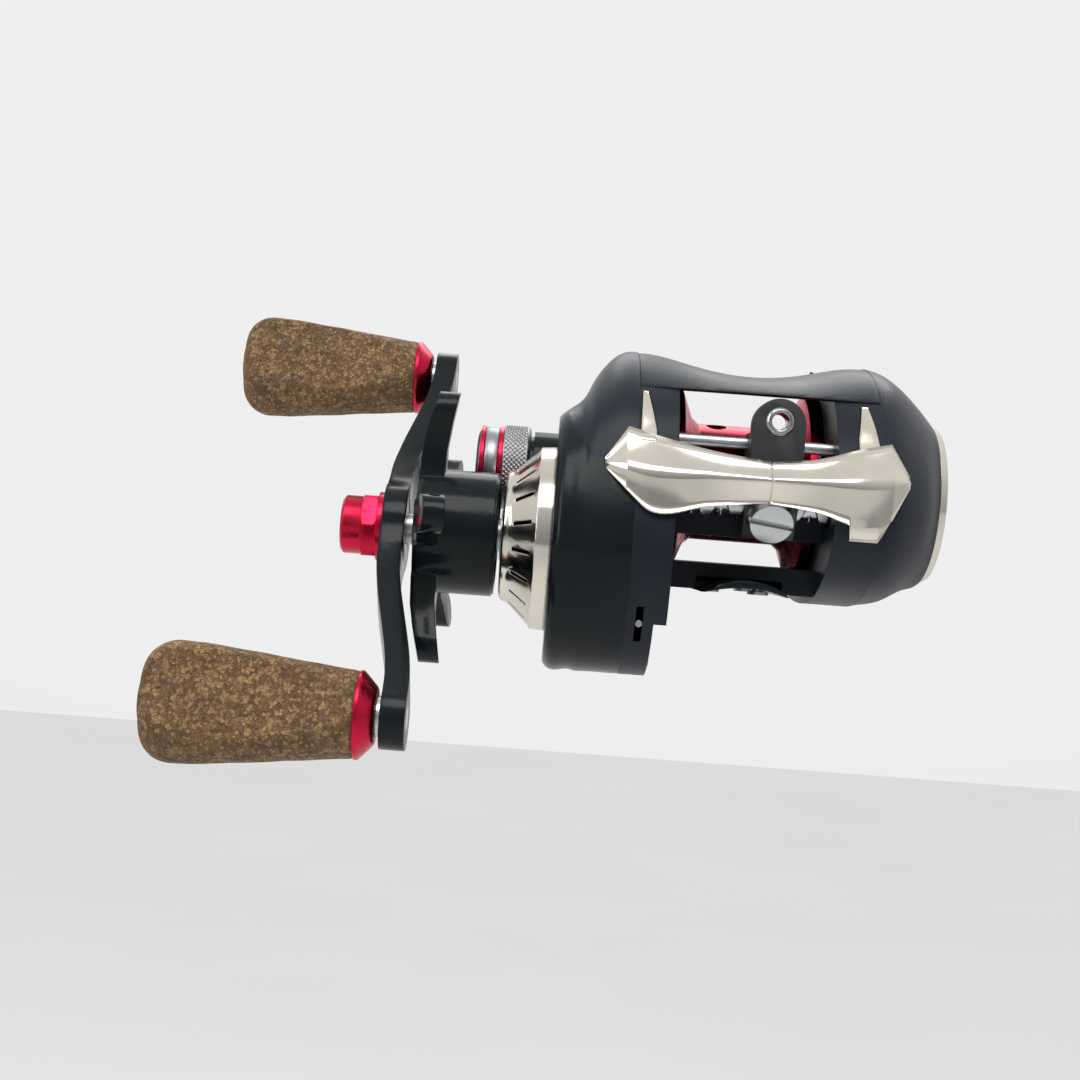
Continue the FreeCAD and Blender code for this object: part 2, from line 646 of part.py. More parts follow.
def wind_drive_gear():
    gear = spur_gear(WIND_TEETH, -19.4, -17.6, DRIVE_Y, DRIVE_Z, WORM_ANGLE)
    return gear.cut(rod(3.0, -30, -15, DRIVE_Y, DRIVE_Z))


def worm_gear():
    gap = WORM_ANGLE + math.pi + math.pi / WORM_TEETH
    gear = spur_gear(WORM_TEETH, -19.4, -17.6, WORM_Y, WORM_Z, gap)
    return gear.cut(rod(1.6, -30, -15, WORM_Y, WORM_Z))


def drive_shaft():
    return turned([(-70.6, 0.0), (-70.6, 2.5), (-70.2, 2.9), (-49.9, 2.9), (-49.9, 3.0), (-20.4, 3.0),
                   (-20.4, 8.0), (-19.6, 8.0), (-19.6, 3.0), (-17.6, 3.0), (-17.6, 3.8), (-17.2, 3.8),
                   (-17.2, 2.0), (-14.7, 2.0), (-14.7, 0.0)], DRIVE_Y, DRIVE_Z)


def drag_washers():
    return group([tube(12.7, 3.0, -22.8, -21.8, DRIVE_Y, DRIVE_Z),
                  tube(12.4, 3.0, -23.9, -22.8, DRIVE_Y, DRIVE_Z)])


def drag_sleeve():
    return joined([tube(4.6, 3.0, -43.8, -23.9, DRIVE_Y, DRIVE_Z),
                   tube(7.5, 3.0, -25.0, -23.9, DRIVE_Y, DRIVE_Z)])


def drag_springs():
    """Two dished spring washers, back to back."""
    return group([turned([(-44.3, 3.0), (-44.3, 3.6), (-45.0, 6.2), (-45.3, 6.2), (-44.6, 3.0)],
                         DRIVE_Y, DRIVE_Z),
                  turned([(-46.2, 3.0), (-46.2, 3.6), (-45.6, 6.2), (-45.3, 6.2), (-45.9, 3.0)],
                         DRIVE_Y, DRIVE_Z)])


def hexagon(across_corners_r, x0, x1, y, z):
    corners = [(y + across_corners_r * math.cos(math.radians(a)),
                z + across_corners_r * math.sin(math.radians(a))) for a in range(0, 360, 60)]
    return prism(corners, x0, x1)


def drag_nut():
    nut = hexagon(6.6, -50.0, -46.8, DRIVE_Y, DRIVE_Z)
    return nut.cut(rod(3.0 + RUN, -60, -40, DRIVE_Y, DRIVE_Z))


# ---- star drag ----
def swept_plate(profile, half_width):
    """Plate bent in the (radius, X) plane, half_width to each side of its centre line."""
    points = [V(x, DRIVE_Y + r, DRIVE_Z - half_width) for r, x in profile]
    face = Part.Face(Part.makePolygon(points + points[:1]))
    return face.extrude(V(0, 0, 2 * half_width))


def star_arm():
    profile = [(6.0, -59.0), (11.5, -59.0), (16.0, -58.7), (20.0, -57.9), (STAR_R, -56.4),
               (STAR_R, -52.7), (20.0, -53.7), (15.0, -54.4), (6.0, -54.6)]
    plate = swept_plate(profile, 6.0)
    plan = joined([rod(3.3, -62, -50, DRIVE_Y + STAR_R - 3.3, DRIVE_Z),
                   prism([(DRIVE_Y + 5.0, DRIVE_Z - 6.0), (DRIVE_Y + 12.0, DRIVE_Z - 3.6),
                          (DRIVE_Y + 18.0, DRIVE_Z - 2.9), (DRIVE_Y + STAR_R - 3.3, DRIVE_Z - 3.3),
                          (DRIVE_Y + STAR_R - 3.3, DRIVE_Z + 3.3), (DRIVE_Y + 18.0, DRIVE_Z + 2.9),
                          (DRIVE_Y + 12.0, DRIVE_Z + 3.6), (DRIVE_Y + 5.0, DRIVE_Z + 6.0)], -62, -50)])
    return plate.common(plan)


def star_drag():
    barrel = turned([(-59.0, 4.4), (-59.0, 10.6), (-58.2, 11.3), (-45.0, 11.3), (-44.4, 10.8),
                     (-44.4, 9.4), (-52.5, 9.4), (-52.5, 4.4)], DRIVE_Y, DRIVE_Z)
    arm = star_arm()
    arms = [turned_about_drive(arm, STAR_ANGLE + 72 * i) for i in range(5)]
    arms = [arm.cut(rod(9.0, -70, -40, DRIVE_Y, DRIVE_Z)) for arm in arms]
    return joined([barrel] + arms)


# ---- handle ----
def sweep_share(radius):
    """0 at the hub, 1 at the knob, with a soft bend in between."""
    t = min(1.0, max(0.0, (abs(radius) - 9.0) / (KNOB_RADIUS - 11.0)))
    return t * t * (3 - 2 * t)


def arm_edge(face_x, radii):
    return [V(face_x + ARM_SWEEP * sweep_share(r), DRIVE_Y + r, DRIVE_Z - 12) for r in radii]


def handle_arm():
    reach = KNOB_RADIUS + 6.0
    radii = [reach * i / 8 for i in range(-8, 9)]
    outer = Part.BSplineCurve()
    outer.interpolate(arm_edge(ARM_FACE, radii))
    inner = Part.BSplineCurve()
    inner.interpolate(arm_edge(ARM_FACE + ARM_THICKNESS, radii))
    ends = [Part.makeLine(arm_edge(ARM_FACE, [s * reach])[0],
                          arm_edge(ARM_FACE + ARM_THICKNESS, [s * reach])[0]) for s in (-1, 1)]
    face = Part.Face(Part.Wire(Part.__sortEdges__([outer.toShape(), inner.toShape()] + ends)))
    blank = face.extrude(V(0, 0, 24))
    plan = [rod(8.0, -70, -50, DRIVE_Y, DRIVE_Z)]
    for s in (-1, 1):
        plan.append(rod(5.3, -70, -50, DRIVE_Y + s * KNOB_RADIUS, DRIVE_Z))
        corners = [(DRIVE_Y, DRIVE_Z - 7.9), (DRIVE_Y + s * 8, DRIVE_Z - 5.2),
                   (DRIVE_Y + s * 16, DRIVE_Z - 4.2), (DRIVE_Y + s * 32, DRIVE_Z - 4.2),
                   (DRIVE_Y + s * KNOB_RADIUS, DRIVE_Z - 5.2), (DRIVE_Y + s * KNOB_RADIUS, DRIVE_Z + 5.2),
                   (DRIVE_Y + s * 32, DRIVE_Z + 4.2), (DRIVE_Y + s * 16, DRIVE_Z + 4.2),
                   (DRIVE_Y + s * 8, DRIVE_Z + 5.2), (DRIVE_Y, DRIVE_Z + 7.9)]
        plan.append(prism(corners, -70, -50))
    arm = blank.common(joined(plan))
    arm = turned_about_drive(arm, HANDLE_ANGLE)
    cuts = [rod(2.9, -80, -40, DRIVE_Y, DRIVE_Z)]
    cuts += [rod(SPINDLE_R, -80, -40, *knob_place(s)) for s in (-1, 1)]
    cuts += [rod(3.5, -80, ARM_FACE + ARM_SWEEP, *knob_place(s)) for s in (-1, 1)]
    return arm.cut(group(cuts))


def knob_place(side):
    """(Y, Z) of a knob axis: side 1 is the rear knob, -1 the front one."""
    angle = math.radians(HANDLE_ANGLE)
    return (DRIVE_Y + side * KNOB_RADIUS * math.cos(angle),
            DRIVE_Z + side * KNOB_RADIUS * math.sin(angle))


def handle_nut():
    hexed = hexagon(6.3, -69.1, -66.2, DRIVE_Y, DRIVE_Z).common(
        turned([(-69.3, 0), (-69.3, 5.2), (-68.6, 6.2), (-66.6, 6.2), (-66.2, 5.8), (-66.2, 0)],
               DRIVE_Y, DRIVE_Z))
    dome = turned([(-72.7, 0), (-72.7, 4.7), (-72.2, 5.3), (-69.1, 5.3), (-69.1, 0)], DRIVE_Y, DRIVE_Z)
    washer = rod(6.3, -66.2, ARM_FACE, DRIVE_Y, DRIVE_Z)
    solid = joined([hexed, dome, washer])
    return solid.cut(rod(2.9, -70.7, -60, DRIVE_Y, DRIVE_Z))


def knob_spindles():
    spindles = []
    for side in (-1, 1):
        y, z = knob_place(side)
        shank = rod(SPINDLE_R, -94.0, ARM_FACE + ARM_THICKNESS + ARM_SWEEP, y, z)
        shoulder = rod(3.4, -60.8, ARM_FACE + ARM_SWEEP, y, z)
        spindles.append(joined([shank, shoulder]).cut(rod(0.8, -95, -90.5, y, z)))
    return group(spindles)


def knob_screws():
    return group([machine_screw(2.6, 0.8, -95.0, -94.0, -90.5, *knob_place(side)) for side in (-1, 1)])


GRIP_END = GRIP_START - GRIP_LENGTH
# distance from the collar, half width across the handle, half width along it
GRIP_SECTIONS = [(0.0, 7.3, 7.3), (3.0, 7.7, 7.5), (10.0, 8.6, 7.7), (18.0, 9.6, 8.0), (26.0, 10.1, 8.2),
                 (31.0, 9.9, 8.0), (33.8, 8.9, 7.0), (GRIP_LENGTH, 7.6, 5.8)]


def grip(side):
    """Cork knob, paddle shaped: round at the collar, wider and flatter at the outer end."""
    y, z = knob_place(side)
    wires = []
    for distance, half_z, half_y in GRIP_SECTIONS:
        points = []
        for i in range(12):
            angle = 2 * math.pi * i / 12
            points.append((y + half_y * math.cos(angle), z + half_z * math.sin(angle)))
        wires.append(smooth_wire(points, GRIP_START - distance))
    solid = Part.makeLoft(wires, True, False)
    cuts = [rod(3.2, -96.6, GRIP_START + 1, y, z), rod(4.4, GRIP_END - 1, -96.6, y, z)]
    return solid.cut(group(cuts))


def knob_collar(side):
    y, z = knob_place(side)
    return turned([(GRIP_START, 3.2), (GRIP_START, 7.3), (-63.4, 7.3), (-62.6, 6.5), (-61.2, 5.0),
                   (-60.9, 4.6), (-60.9, 3.2)], y, z)


def knob_bushings(side):
    y, z = knob_place(side)
    return group([tube(3.2, SPINDLE_R + RUN, -93.4, -90.0, y, z),
                  tube(3.2, SPINDLE_R + RUN, -65.4, -62.0, y, z)])


def knob_cap(side):
    y, z = knob_place(side)
    return turned([(-98.6, 0), (-98.6, 3.6), (-98.2, 4.4), (-96.6, 4.4), (-96.6, 0)], y, z)


# ---- cast-control cap ----
def cast_control_cap():
    body = turned([(-49.8, 0.0), (-49.8, 6.2), (-49.3, 7.0), (-48.4, 7.0), (-48.4, 7.5),
                   (-45.7, 7.5), (-45.7, 7.0), (-44.8, 7.0), (-44.8, 8.2), (-40.2, 8.2), (-39.7, 7.7),
                   (-39.7, 6.2 + RUN), (-46.8, 6.2 + RUN), (-46.8, 2.6), (-40.9, 2.6), (-40.9, 0.0)])
    return body


def cap_rings():
    return group([tube(7.7, 7.0, -49.2, -48.4), tube(7.7, 7.0, -45.7, -44.8)])


def tension_shim():
    return rod(3.5, -40.9, -40.1)


# ---- level wind ----
def worm_shaft():
    return turned([(-20.2, 0.0), (-20.2, 1.6), (-17.6, 1.6), (-17.6, 2.0), (-13.7, 2.0), (-13.7, 2.6),
                   (13.7, 2.6), (13.7, 2.0), (16.8, 2.0), (16.8, 0.0)], WORM_Y, WORM_Z)


def guide_rod():
    return rod(ROD_R, -16.4, 16.4, ROD_Y, ROD_Z)


GUIDE_FRONT = -31.4
GUIDE_BACK = -27.6
PAWL_REACH = 4.6           # from the worm axis to the seat of the pawl cap
PAWL_OUT = V(0, -math.cos(PAWL_TILT), -math.sin(PAWL_TILT))


def pawl_point(distance):
    """Point on the pawl's axis, at a distance from the worm axis."""
    return V(GUIDE_X, WORM_Y, WORM_Z) + PAWL_OUT * distance


def line_guide():
    """Carrier on the worm and the guide rod, with an arched plate that holds the eye."""
    low = GUIDE_X - GUIDE_WIDTH / 2
    high = GUIDE_X + GUIDE_WIDTH / 2
    body = prism([(GUIDE_FRONT, -2.0), (GUIDE_FRONT, 8.0), (-22.1, 8.0), (-22.1, 2.0), (-20.5, -1.0),
                  (-20.5, -7.4), (-22.6, -9.2), (-26.0, -10.4), (-30.6, -2.9)][::-1], low, high)
    arch_r = GUIDE_WIDTH / 2
    arch_z = 13.9 - arch_r
    plate = joined([block(low, high, GUIDE_FRONT, GUIDE_BACK, 7.0, arch_z),
                    Part.makeCylinder(arch_r, GUIDE_BACK - GUIDE_FRONT,
                                      V(GUIDE_X, GUIDE_FRONT, arch_z), V(0, 1, 0))])
    solid = joined([body, plate])
    pawl_bore = Part.makeCylinder(1.6, 12, pawl_point(2.0), PAWL_OUT)
    seat = Part.makeCylinder(9.0, 12, pawl_point(PAWL_REACH), PAWL_OUT)
    cuts = [rod(2.9, -40, 40, WORM_Y, WORM_Z),
            rod(ROD_R + RUN, -40, 40, ROD_Y, ROD_Z),
            Part.makeCylinder(2.15, 20, V(GUIDE_X, -35, EYE_Z), V(0, 1, 0)),
            pawl_bore]
    return solid.cut(group(cuts)).cut(seat)


def guide_eye():
    """Ceramic ring with rounded lips."""
    profile = [(-31.8, EYE_BORE_R + 0.1), (-31.9, 2.0), (-31.4, 2.6), (-31.4, 2.15),
               (GUIDE_BACK, 2.15), (GUIDE_BACK, EYE_BORE_R + 0.1), (-28.0, EYE_BORE_R),
               (-31.4, EYE_BORE_R)]
    points = [V(GUIDE_X + r, y, EYE_Z) for y, r in profile]
    face = Part.Face(Part.makePolygon(points + points[:1]))
    return face.revolve(V(GUIDE_X, 0, EYE_Z), V(0, 1, 0), 360)


def pawl():
    """Follower pin whose blade tip looks at the worm groove."""
    shank = Part.makeCylinder(1.5, PAWL_REACH - 2.9, pawl_point(2.9), PAWL_OUT)
    return shank


def pawl_cap():
    cone = Part.makeCone(4.4, 3.75, 2.4, pawl_point(PAWL_REACH), PAWL_OUT)
    slot = Part.makeBox(12, 0.85, 3, V(-6, -0.425, 0))
    slot.rotate(V(0, 0, 0), V(0, 0, 1), -8)
    slot.Placement = FreeCAD.Placement(pawl_point(PAWL_REACH + 1.5),
                                       FreeCAD.Rotation(V(0, 0, 1), PAWL_OUT)).multiply(slot.Placement)
    return cone.cut(slot)


# ---- thumb bar and clutch ----
YOKE_THICKNESS = 1.0
RAMP_SLOPE = YOKE_TRAVEL / THUMB_TRAVEL


def thumb_bar():
    """Rear clutch bar, pressed down with the thumb."""
    bar = prism([(18.9, -3.2), (21.6, -3.2), (22.4, 1.6), (26.8, 2.8), (27.4, 4.2), (24.6, 6.4),
                 (20.8, 6.0), (18.9, 3.4)], -13.4, 13.4)
    return bar


def ramp_x(z, gap=0.0):
    """Face shared by the sliding ramp and the yoke's foot: it climbs towards -X with height."""
    return -19.2 - RAMP_SLOPE * (z + 3.4) - gap


def clutch_plate():
    """Sliding plate in the gear case: foot on the thumb bar, ramp and land under the yoke's foot."""
    foot = block(-17.8, -13.4, 19.6, 22.2, -3.2, 1.4)
    plate = block(-18.6, -17.4, 8.2, 21.0, -3.4, 1.4)
    low, high, land = -3.4, 1.4, 5.0
    corners = [V(-17.4, 8.2, low), V(-17.4, 8.2, land), V(ramp_x(high), 8.2, land),
               V(ramp_x(high), 8.2, high), V(ramp_x(low), 8.2, low)]
    ramp = Part.Face(Part.makePolygon(corners + corners[:1])).extrude(V(0, 3.6, 0))
    return joined([foot, plate, ramp])


def clutch_yoke():
    """Fork round the pinion's waist, guided on two posts, lifted by the ramp."""
    back = YOKE_X + YOKE_THICKNESS
    bridge = block(YOKE_X, back, -1.5, 6.0, -9.6, 9.6)
    tail = block(YOKE_X, back, 6.0, 11.8, -3.2, 1.2)
    gap = 0.1
    corners = [V(back, 8.3, -3.2), V(back, 8.3, 1.2), V(ramp_x(1.2, gap), 8.3, 1.2),
               V(ramp_x(-3.2, gap), 8.3, -3.2)]
    foot = Part.Face(Part.makePolygon(corners + corners[:1])).extrude(V(0, 3.4, 0))
    solid = joined([bridge, tail, foot])
    cuts = [rod(2.25, -40, -20), block(-40, -20, -5, 0, -2.25, 2.25)]
    cuts += [rod(1.0, -40, -20, y, z) for y, z in YOKE_POSTS]
    return solid.cut(group(cuts))


SPRING_R = 1.35
SPRING_WIRE_R = 0.2
SPRING_RINGS = 3


def yoke_springs():
    """Two light springs that push the yoke home, each drawn as a row of closed rings."""
    start = POST_END + 0.95
    end = YOKE_X - 0.45
    rings = []
    for y, z in YOKE_POSTS:
        for i in range(SPRING_RINGS):
            x = start + (end - start) * i / (SPRING_RINGS - 1)
            rings.append(Part.makeTorus(SPRING_R, SPRING_WIRE_R, V(x, y, z), V(1, 0, 0)))
    return group(rings)


# ---- writing the parts ----
NODES = {
    "frame": frame,
    "reel_foot": reel_foot,
    "foot_rivets": foot_rivets,
    "top_hood": top_hood,
    "brow_cover": brow_cover,
    "handle_side_cover": handle_side_cover,
    "cover_collar": cover_collar,
    "handle_cover_screws": handle_cover_screws,
    "notch_screw": notch_screw,
    "palm_side_cover": palm_side_cover,
    "dial_bezel": dial_bezel,
    "palm_cover_screws": palm_cover_screws,
    "one_way_clutch": one_way_clutch,
    "drive_shaft_bearing": drive_shaft_bearing,
    "pinion_bearing": pinion_bearing,
    "spool_bearing_handle": spool_bearing_handle,
    "spool_bearing_palm": spool_bearing_palm,
    "worm_bushings": worm_bushings,
    "guide_rod": guide_rod,
    "yoke_springs": yoke_springs,
    "spool": spool,
    "spool_shaft": spool_shaft,
    "spool_pin": spool_pin,
    "drive_shaft": drive_shaft,
    "main_gear": main_gear,
    "drag_washers": drag_washers,
    "drag_sleeve": drag_sleeve,
    "drag_springs": drag_springs,
    "wind_drive_gear": wind_drive_gear,
    "handle_arm": handle_arm,
    "handle_nut": handle_nut,
    "knob_spindles": knob_spindles,
    "knob_screws": knob_screws,
    "front_grip": lambda: grip(-1),
    "rear_grip": lambda: grip(1),
    "front_knob_collar": lambda: knob_collar(-1),
    "rear_knob_collar": lambda: knob_collar(1),
    "front_knob_bushings": lambda: knob_bushings(-1),
    "rear_knob_bushings": lambda: knob_bushings(1),
    "front_knob_cap": lambda: knob_cap(-1),
    "rear_knob_cap": lambda: knob_cap(1),
    "star_drag": star_drag,
    "drag_nut": drag_nut,
    "cast_control_cap": cast_control_cap,
    "cap_rings": cap_rings,
    "tension_shim": tension_shim,
    "worm_shaft": worm_shaft,
    "worm_gear": worm_gear,
    "line_guide": line_guide,
    "guide_eye": guide_eye,
    "pawl": pawl,
    "pawl_cap": pawl_cap,
    "thumb_bar": thumb_bar,
    "clutch_plate": clutch_plate,
    "clutch_yoke": clutch_yoke,
    "pinion": pinion,
    "brake_dial": brake_dial,
    "magnet_holder": magnet_holder,
    "brake_magnets": brake_magnets,
}

os.makedirs("parts", exist_ok=True)
for name, make in NODES.items():
    shape = make()
    shape.translate(V(0, 0, SPOOL_HEIGHT))
    shape.exportStep("parts/" + name + ".step")
    box = shape.BoundBox
    print(f"{name:22s} solids {len(shape.Solids)} valid {shape.isValid()} volume {shape.Volume:9.1f}"
          f"  X {box.XMin:7.2f} {box.XMax:7.2f}  Y {box.YMin:7.2f} {box.YMax:7.2f}"
          f"  Z {box.ZMin:7.2f} {box.ZMax:7.2f}")
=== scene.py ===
import json
import math

import bmesh
import bpy
from mathutils import Matrix, Vector, noise


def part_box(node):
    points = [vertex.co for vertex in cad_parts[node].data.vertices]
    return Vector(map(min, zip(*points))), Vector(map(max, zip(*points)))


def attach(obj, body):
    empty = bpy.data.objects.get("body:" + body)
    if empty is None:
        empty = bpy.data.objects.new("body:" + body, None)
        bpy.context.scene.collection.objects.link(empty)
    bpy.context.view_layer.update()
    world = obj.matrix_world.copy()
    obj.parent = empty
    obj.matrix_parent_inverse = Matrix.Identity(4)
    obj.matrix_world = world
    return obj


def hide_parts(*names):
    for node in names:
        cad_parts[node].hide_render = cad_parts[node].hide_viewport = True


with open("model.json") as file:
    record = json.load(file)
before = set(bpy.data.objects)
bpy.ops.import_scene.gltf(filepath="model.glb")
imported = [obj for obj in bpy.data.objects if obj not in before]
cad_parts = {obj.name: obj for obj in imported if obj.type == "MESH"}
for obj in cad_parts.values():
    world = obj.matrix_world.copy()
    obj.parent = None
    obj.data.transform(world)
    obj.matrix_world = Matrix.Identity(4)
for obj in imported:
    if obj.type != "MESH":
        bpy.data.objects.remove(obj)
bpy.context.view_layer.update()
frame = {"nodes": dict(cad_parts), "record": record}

# A low-profile baitcasting reel. +X runs from the handle to the palm side, -Y is where the line
# leaves and +Z is up. Lengths are in metres; MM turns millimetres into them.
MM = 0.001
NODES = frame["nodes"]
RECORD = frame["record"]
BODY_OF = {node: body for body, members in RECORD["behaviour"]["bodies"].items() for node in members}
SLOT_OF = {entry["node"]: entry["material_slot"] for entry in RECORD["subparts"]}
JOINT = {joint["name"]: joint for joint in RECORD["behaviour"]["joints"]}
HANDLE_AXIS = Vector(JOINT["handle_turn"]["pos_m"])
SPOOL_AXIS = Vector(JOINT["spool_spin"]["pos_m"])
WORM_AXIS = Vector(JOINT["worm_spin"]["pos_m"])


# ---- materials ----
CHARCOAL = ((0.0085, 0.0115, 0.0165), (0.0135, 0.0175, 0.0245))


class Finish:
    """A node material being put together."""

    def __init__(self, name, metallic=0.0, coat=0.0, edge=0.25, shine=0.5):
        self.material = bpy.data.materials.new(name)
        self.material.use_nodes = True
        self.nodes = self.material.node_tree.nodes
        self.links = self.material.node_tree.links
        self.shader = self.nodes["Principled BSDF"]
        self.shader.inputs["Metallic"].default_value = metallic
        self.shader.inputs["Coat Weight"].default_value = coat
        self.shader.inputs["Coat Roughness"].default_value = 0.08
        self.shader.inputs["Specular IOR Level"].default_value = shine
        self.place = self.nodes.new("ShaderNodeTexCoord").outputs["Object"]
        rounded = self.nodes.new("ShaderNodeBevel")
        rounded.samples = 4
        rounded.inputs["Radius"].default_value = edge * MM
        self.normal = rounded.outputs["Normal"]

    def put(self, socket, value):
        """Link a socket's input to an output, or give it a plain value."""
        if isinstance(value, bpy.types.NodeSocket):
            self.links.new(value, socket)
        elif hasattr(value, "__len__") and len(value) == 3 and socket.type == "RGBA":
            socket.default_value = (*value, 1.0)
        else:
            socket.default_value = value

    def along(self, scale):
        """The object's own coordinates, stretched by a scale for each axis."""
        node = self.nodes.new("ShaderNodeMapping")
        node.inputs["Scale"].default_value = scale
        self.links.new(self.place, node.inputs["Vector"])
        return node.outputs["Vector"]

    def grain(self, scale, detail=3.0, vector=None):
        node = self.nodes.new("ShaderNodeTexNoise")
        self.put(node.inputs["Vector"], vector or self.place)
        node.inputs["Scale"].default_value = scale
        node.inputs["Detail"].default_value = detail
        return node.outputs["Fac"]

    def cells(self, scale, output="Color", feature="F1"):
        node = self.nodes.new("ShaderNodeTexVoronoi")
        node.feature = feature
        self.links.new(self.place, node.inputs["Vector"])
        node.inputs["Scale"].default_value = scale
        return node.outputs[output]

    def ramp(self, factor, stops):
        """Colours or greys at positions along a factor."""
        node = self.nodes.new("ShaderNodeValToRGB")
        bar = node.color_ramp
        while len(bar.elements) < len(stops):
            bar.elements.new(0.5)
        for element, (position, value) in zip(bar.elements, stops):
            element.position = position
            element.color = (*value, 1.0) if hasattr(value, "__len__") else (value, value, value, 1.0)
        self.put(node.inputs["Fac"], factor)
        return node.outputs["Color"]

    def mix(self, factor, first, second, blend="MIX"):
        node = self.nodes.new("ShaderNodeMix")
        node.data_type = "RGBA"
        node.blend_type = blend
        self.put(node.inputs[0], factor)
        self.put(node.inputs[6], first)
        self.put(node.inputs[7], second)
        return node.outputs[2]

    def sum(self, operation, first, second):
        node = self.nodes.new("ShaderNodeMath")
        node.operation = operation
        self.put(node.inputs[0], first)
        self.put(node.inputs[1], second)
        return node.outputs[0]

    def vector(self, operation, first, second):
        node = self.nodes.new("ShaderNodeVectorMath")
        node.operation = operation
        self.put(node.inputs[0], first)
        self.put(node.inputs[1], second)
        return node

    def split(self):
        node = self.nodes.new("ShaderNodeSeparateXYZ")
        self.links.new(self.place, node.inputs[0])
        return node.outputs

    def worn_edges(self, most=0.5, low=0.03, high=0.30):
        """0 on open faces, up to most along edges, broken up by grain."""
        surface = self.nodes.new("ShaderNodeNewGeometry").outputs["Normal"]
        likeness = self.vector("DOT_PRODUCT", self.normal, surface).outputs["Value"]
        edge = self.ramp(self.sum("SUBTRACT", 1.0, likeness), [(low, 0.0), (high, 1.0)])
        patches = self.ramp(self.grain(900, 4), [(0.45, 0.0), (0.66, most)])
        return self.mix(1.0, edge, patches, "MULTIPLY")

    def relief(self, height, depth, strength=1.0):
        """Bump of a depth in millimetres, on top of what is there."""
        node = self.nodes.new("ShaderNodeBump")
        node.inputs["Strength"].default_value = strength
        node.inputs["Distance"].default_value = depth * MM
        self.put(node.inputs["Height"], height)
        self.put(node.inputs["Normal"], self.normal)
        self.normal = node.outputs["Normal"]

    def done(self, colour, roughness):
        self.put(self.shader.inputs["Base Color"], colour)
        self.put(self.shader.inputs["Roughness"], roughness)
        self.links.new(self.normal, self.shader.inputs["Normal"])
        return self.material


def paint(name, deep, light, rough, coat, edge_colour, peel=0.02, edge=0.3):
    """Sprayed enamel: orange peel, soft patches, handling marks, edges rubbed thin."""
    f = Finish(name, coat=coat, edge=edge, shine=0.15)
    patches = f.grain(70, 3)
    colour = f.mix(f.ramp(patches, [(0.35, 0.0), (0.7, 1.0)]), deep, light)
    edges = f.worn_edges()
    colour = f.mix(edges, colour, edge_colour)
    smudge = f.ramp(f.grain(45, 5), [(0.38, rough), (0.66, rough + 0.14)])
    fine = f.ramp(f.grain(2600, 2), [(0.3, 0.0), (0.7, 0.06)])
    roughness = f.mix(1.0, smudge, fine, "ADD")
    f.relief(f.grain(1100, 2), peel)
    return f.done(colour, roughness)


def turned_metal(name, base, second, rough, line=0.006, edge=0.25, lines=(5200, 90, 90)):
    """Lathe-finished metal: fine rings round X, faint stains and small scratches."""
    f = Finish(name, metallic=1.0, edge=edge)
    rings = f.grain(1.0, 2, f.along(lines))
    stains = f.ramp(f.grain(120, 5), [(0.3, 0.0), (0.75, 1.0)])
    colour = f.mix(stains, base, second)
    colour = f.mix(f.ramp(rings, [(0.3, 0.0), (0.8, 0.25)]), colour, tuple(0.7 * c for c in base))
    scratch = f.ramp(f.grain(1.0, 1, f.along((300, 4200, 700))), [(0.62, 0.0), (0.7, 1.0)])
    spread = f.ramp(f.grain(300, 4), [(0.3, rough), (0.7, rough + 0.1)])
    roughness = f.mix(scratch, spread, (rough + 0.22,) * 3)
    f.relief(rings, line)
    return f.done(colour, roughness)


def plated(name, base, second, rough):
    """Bright plating over a cast surface: slow ripples, pits and finger smears."""
    f = Finish(name, metallic=1.0, edge=0.22)
    smears = f.ramp(f.grain(80, 6), [(0.4, 0.0), (0.72, 1.0)])
    colour = f.mix(smears, base, second)
    roughness = f.ramp(f.grain(170, 5), [(0.35, rough), (0.7, rough + 0.09)])
    f.relief(f.grain(260, 2), 0.015)
    pits = f.ramp(f.cells(1500, "Distance"), [(0.02, 0.0), (0.07, 1.0)])
    f.relief(pits, 0.004)
    return f.done(colour, roughness)


def plastic(name, base, light, rough, grain_scale=2400, depth=0.02):
    """Moulded plastic with a fine sparked texture."""
    f = Finish(name, edge=0.2)
    colour = f.mix(f.ramp(f.grain(140, 4), [(0.3, 0.0), (0.7, 1.0)]), base, light)
    colour = f.mix(f.worn_edges(), colour, tuple(min(1.0, 2.2 * c + 0.02) for c in base))
    roughness = f.ramp(f.grain(grain_scale / 3, 4), [(0.3, rough), (0.75, rough + 0.18)])
    f.relief(f.grain(grain_scale, 2), depth)
    return f.done(colour, roughness)


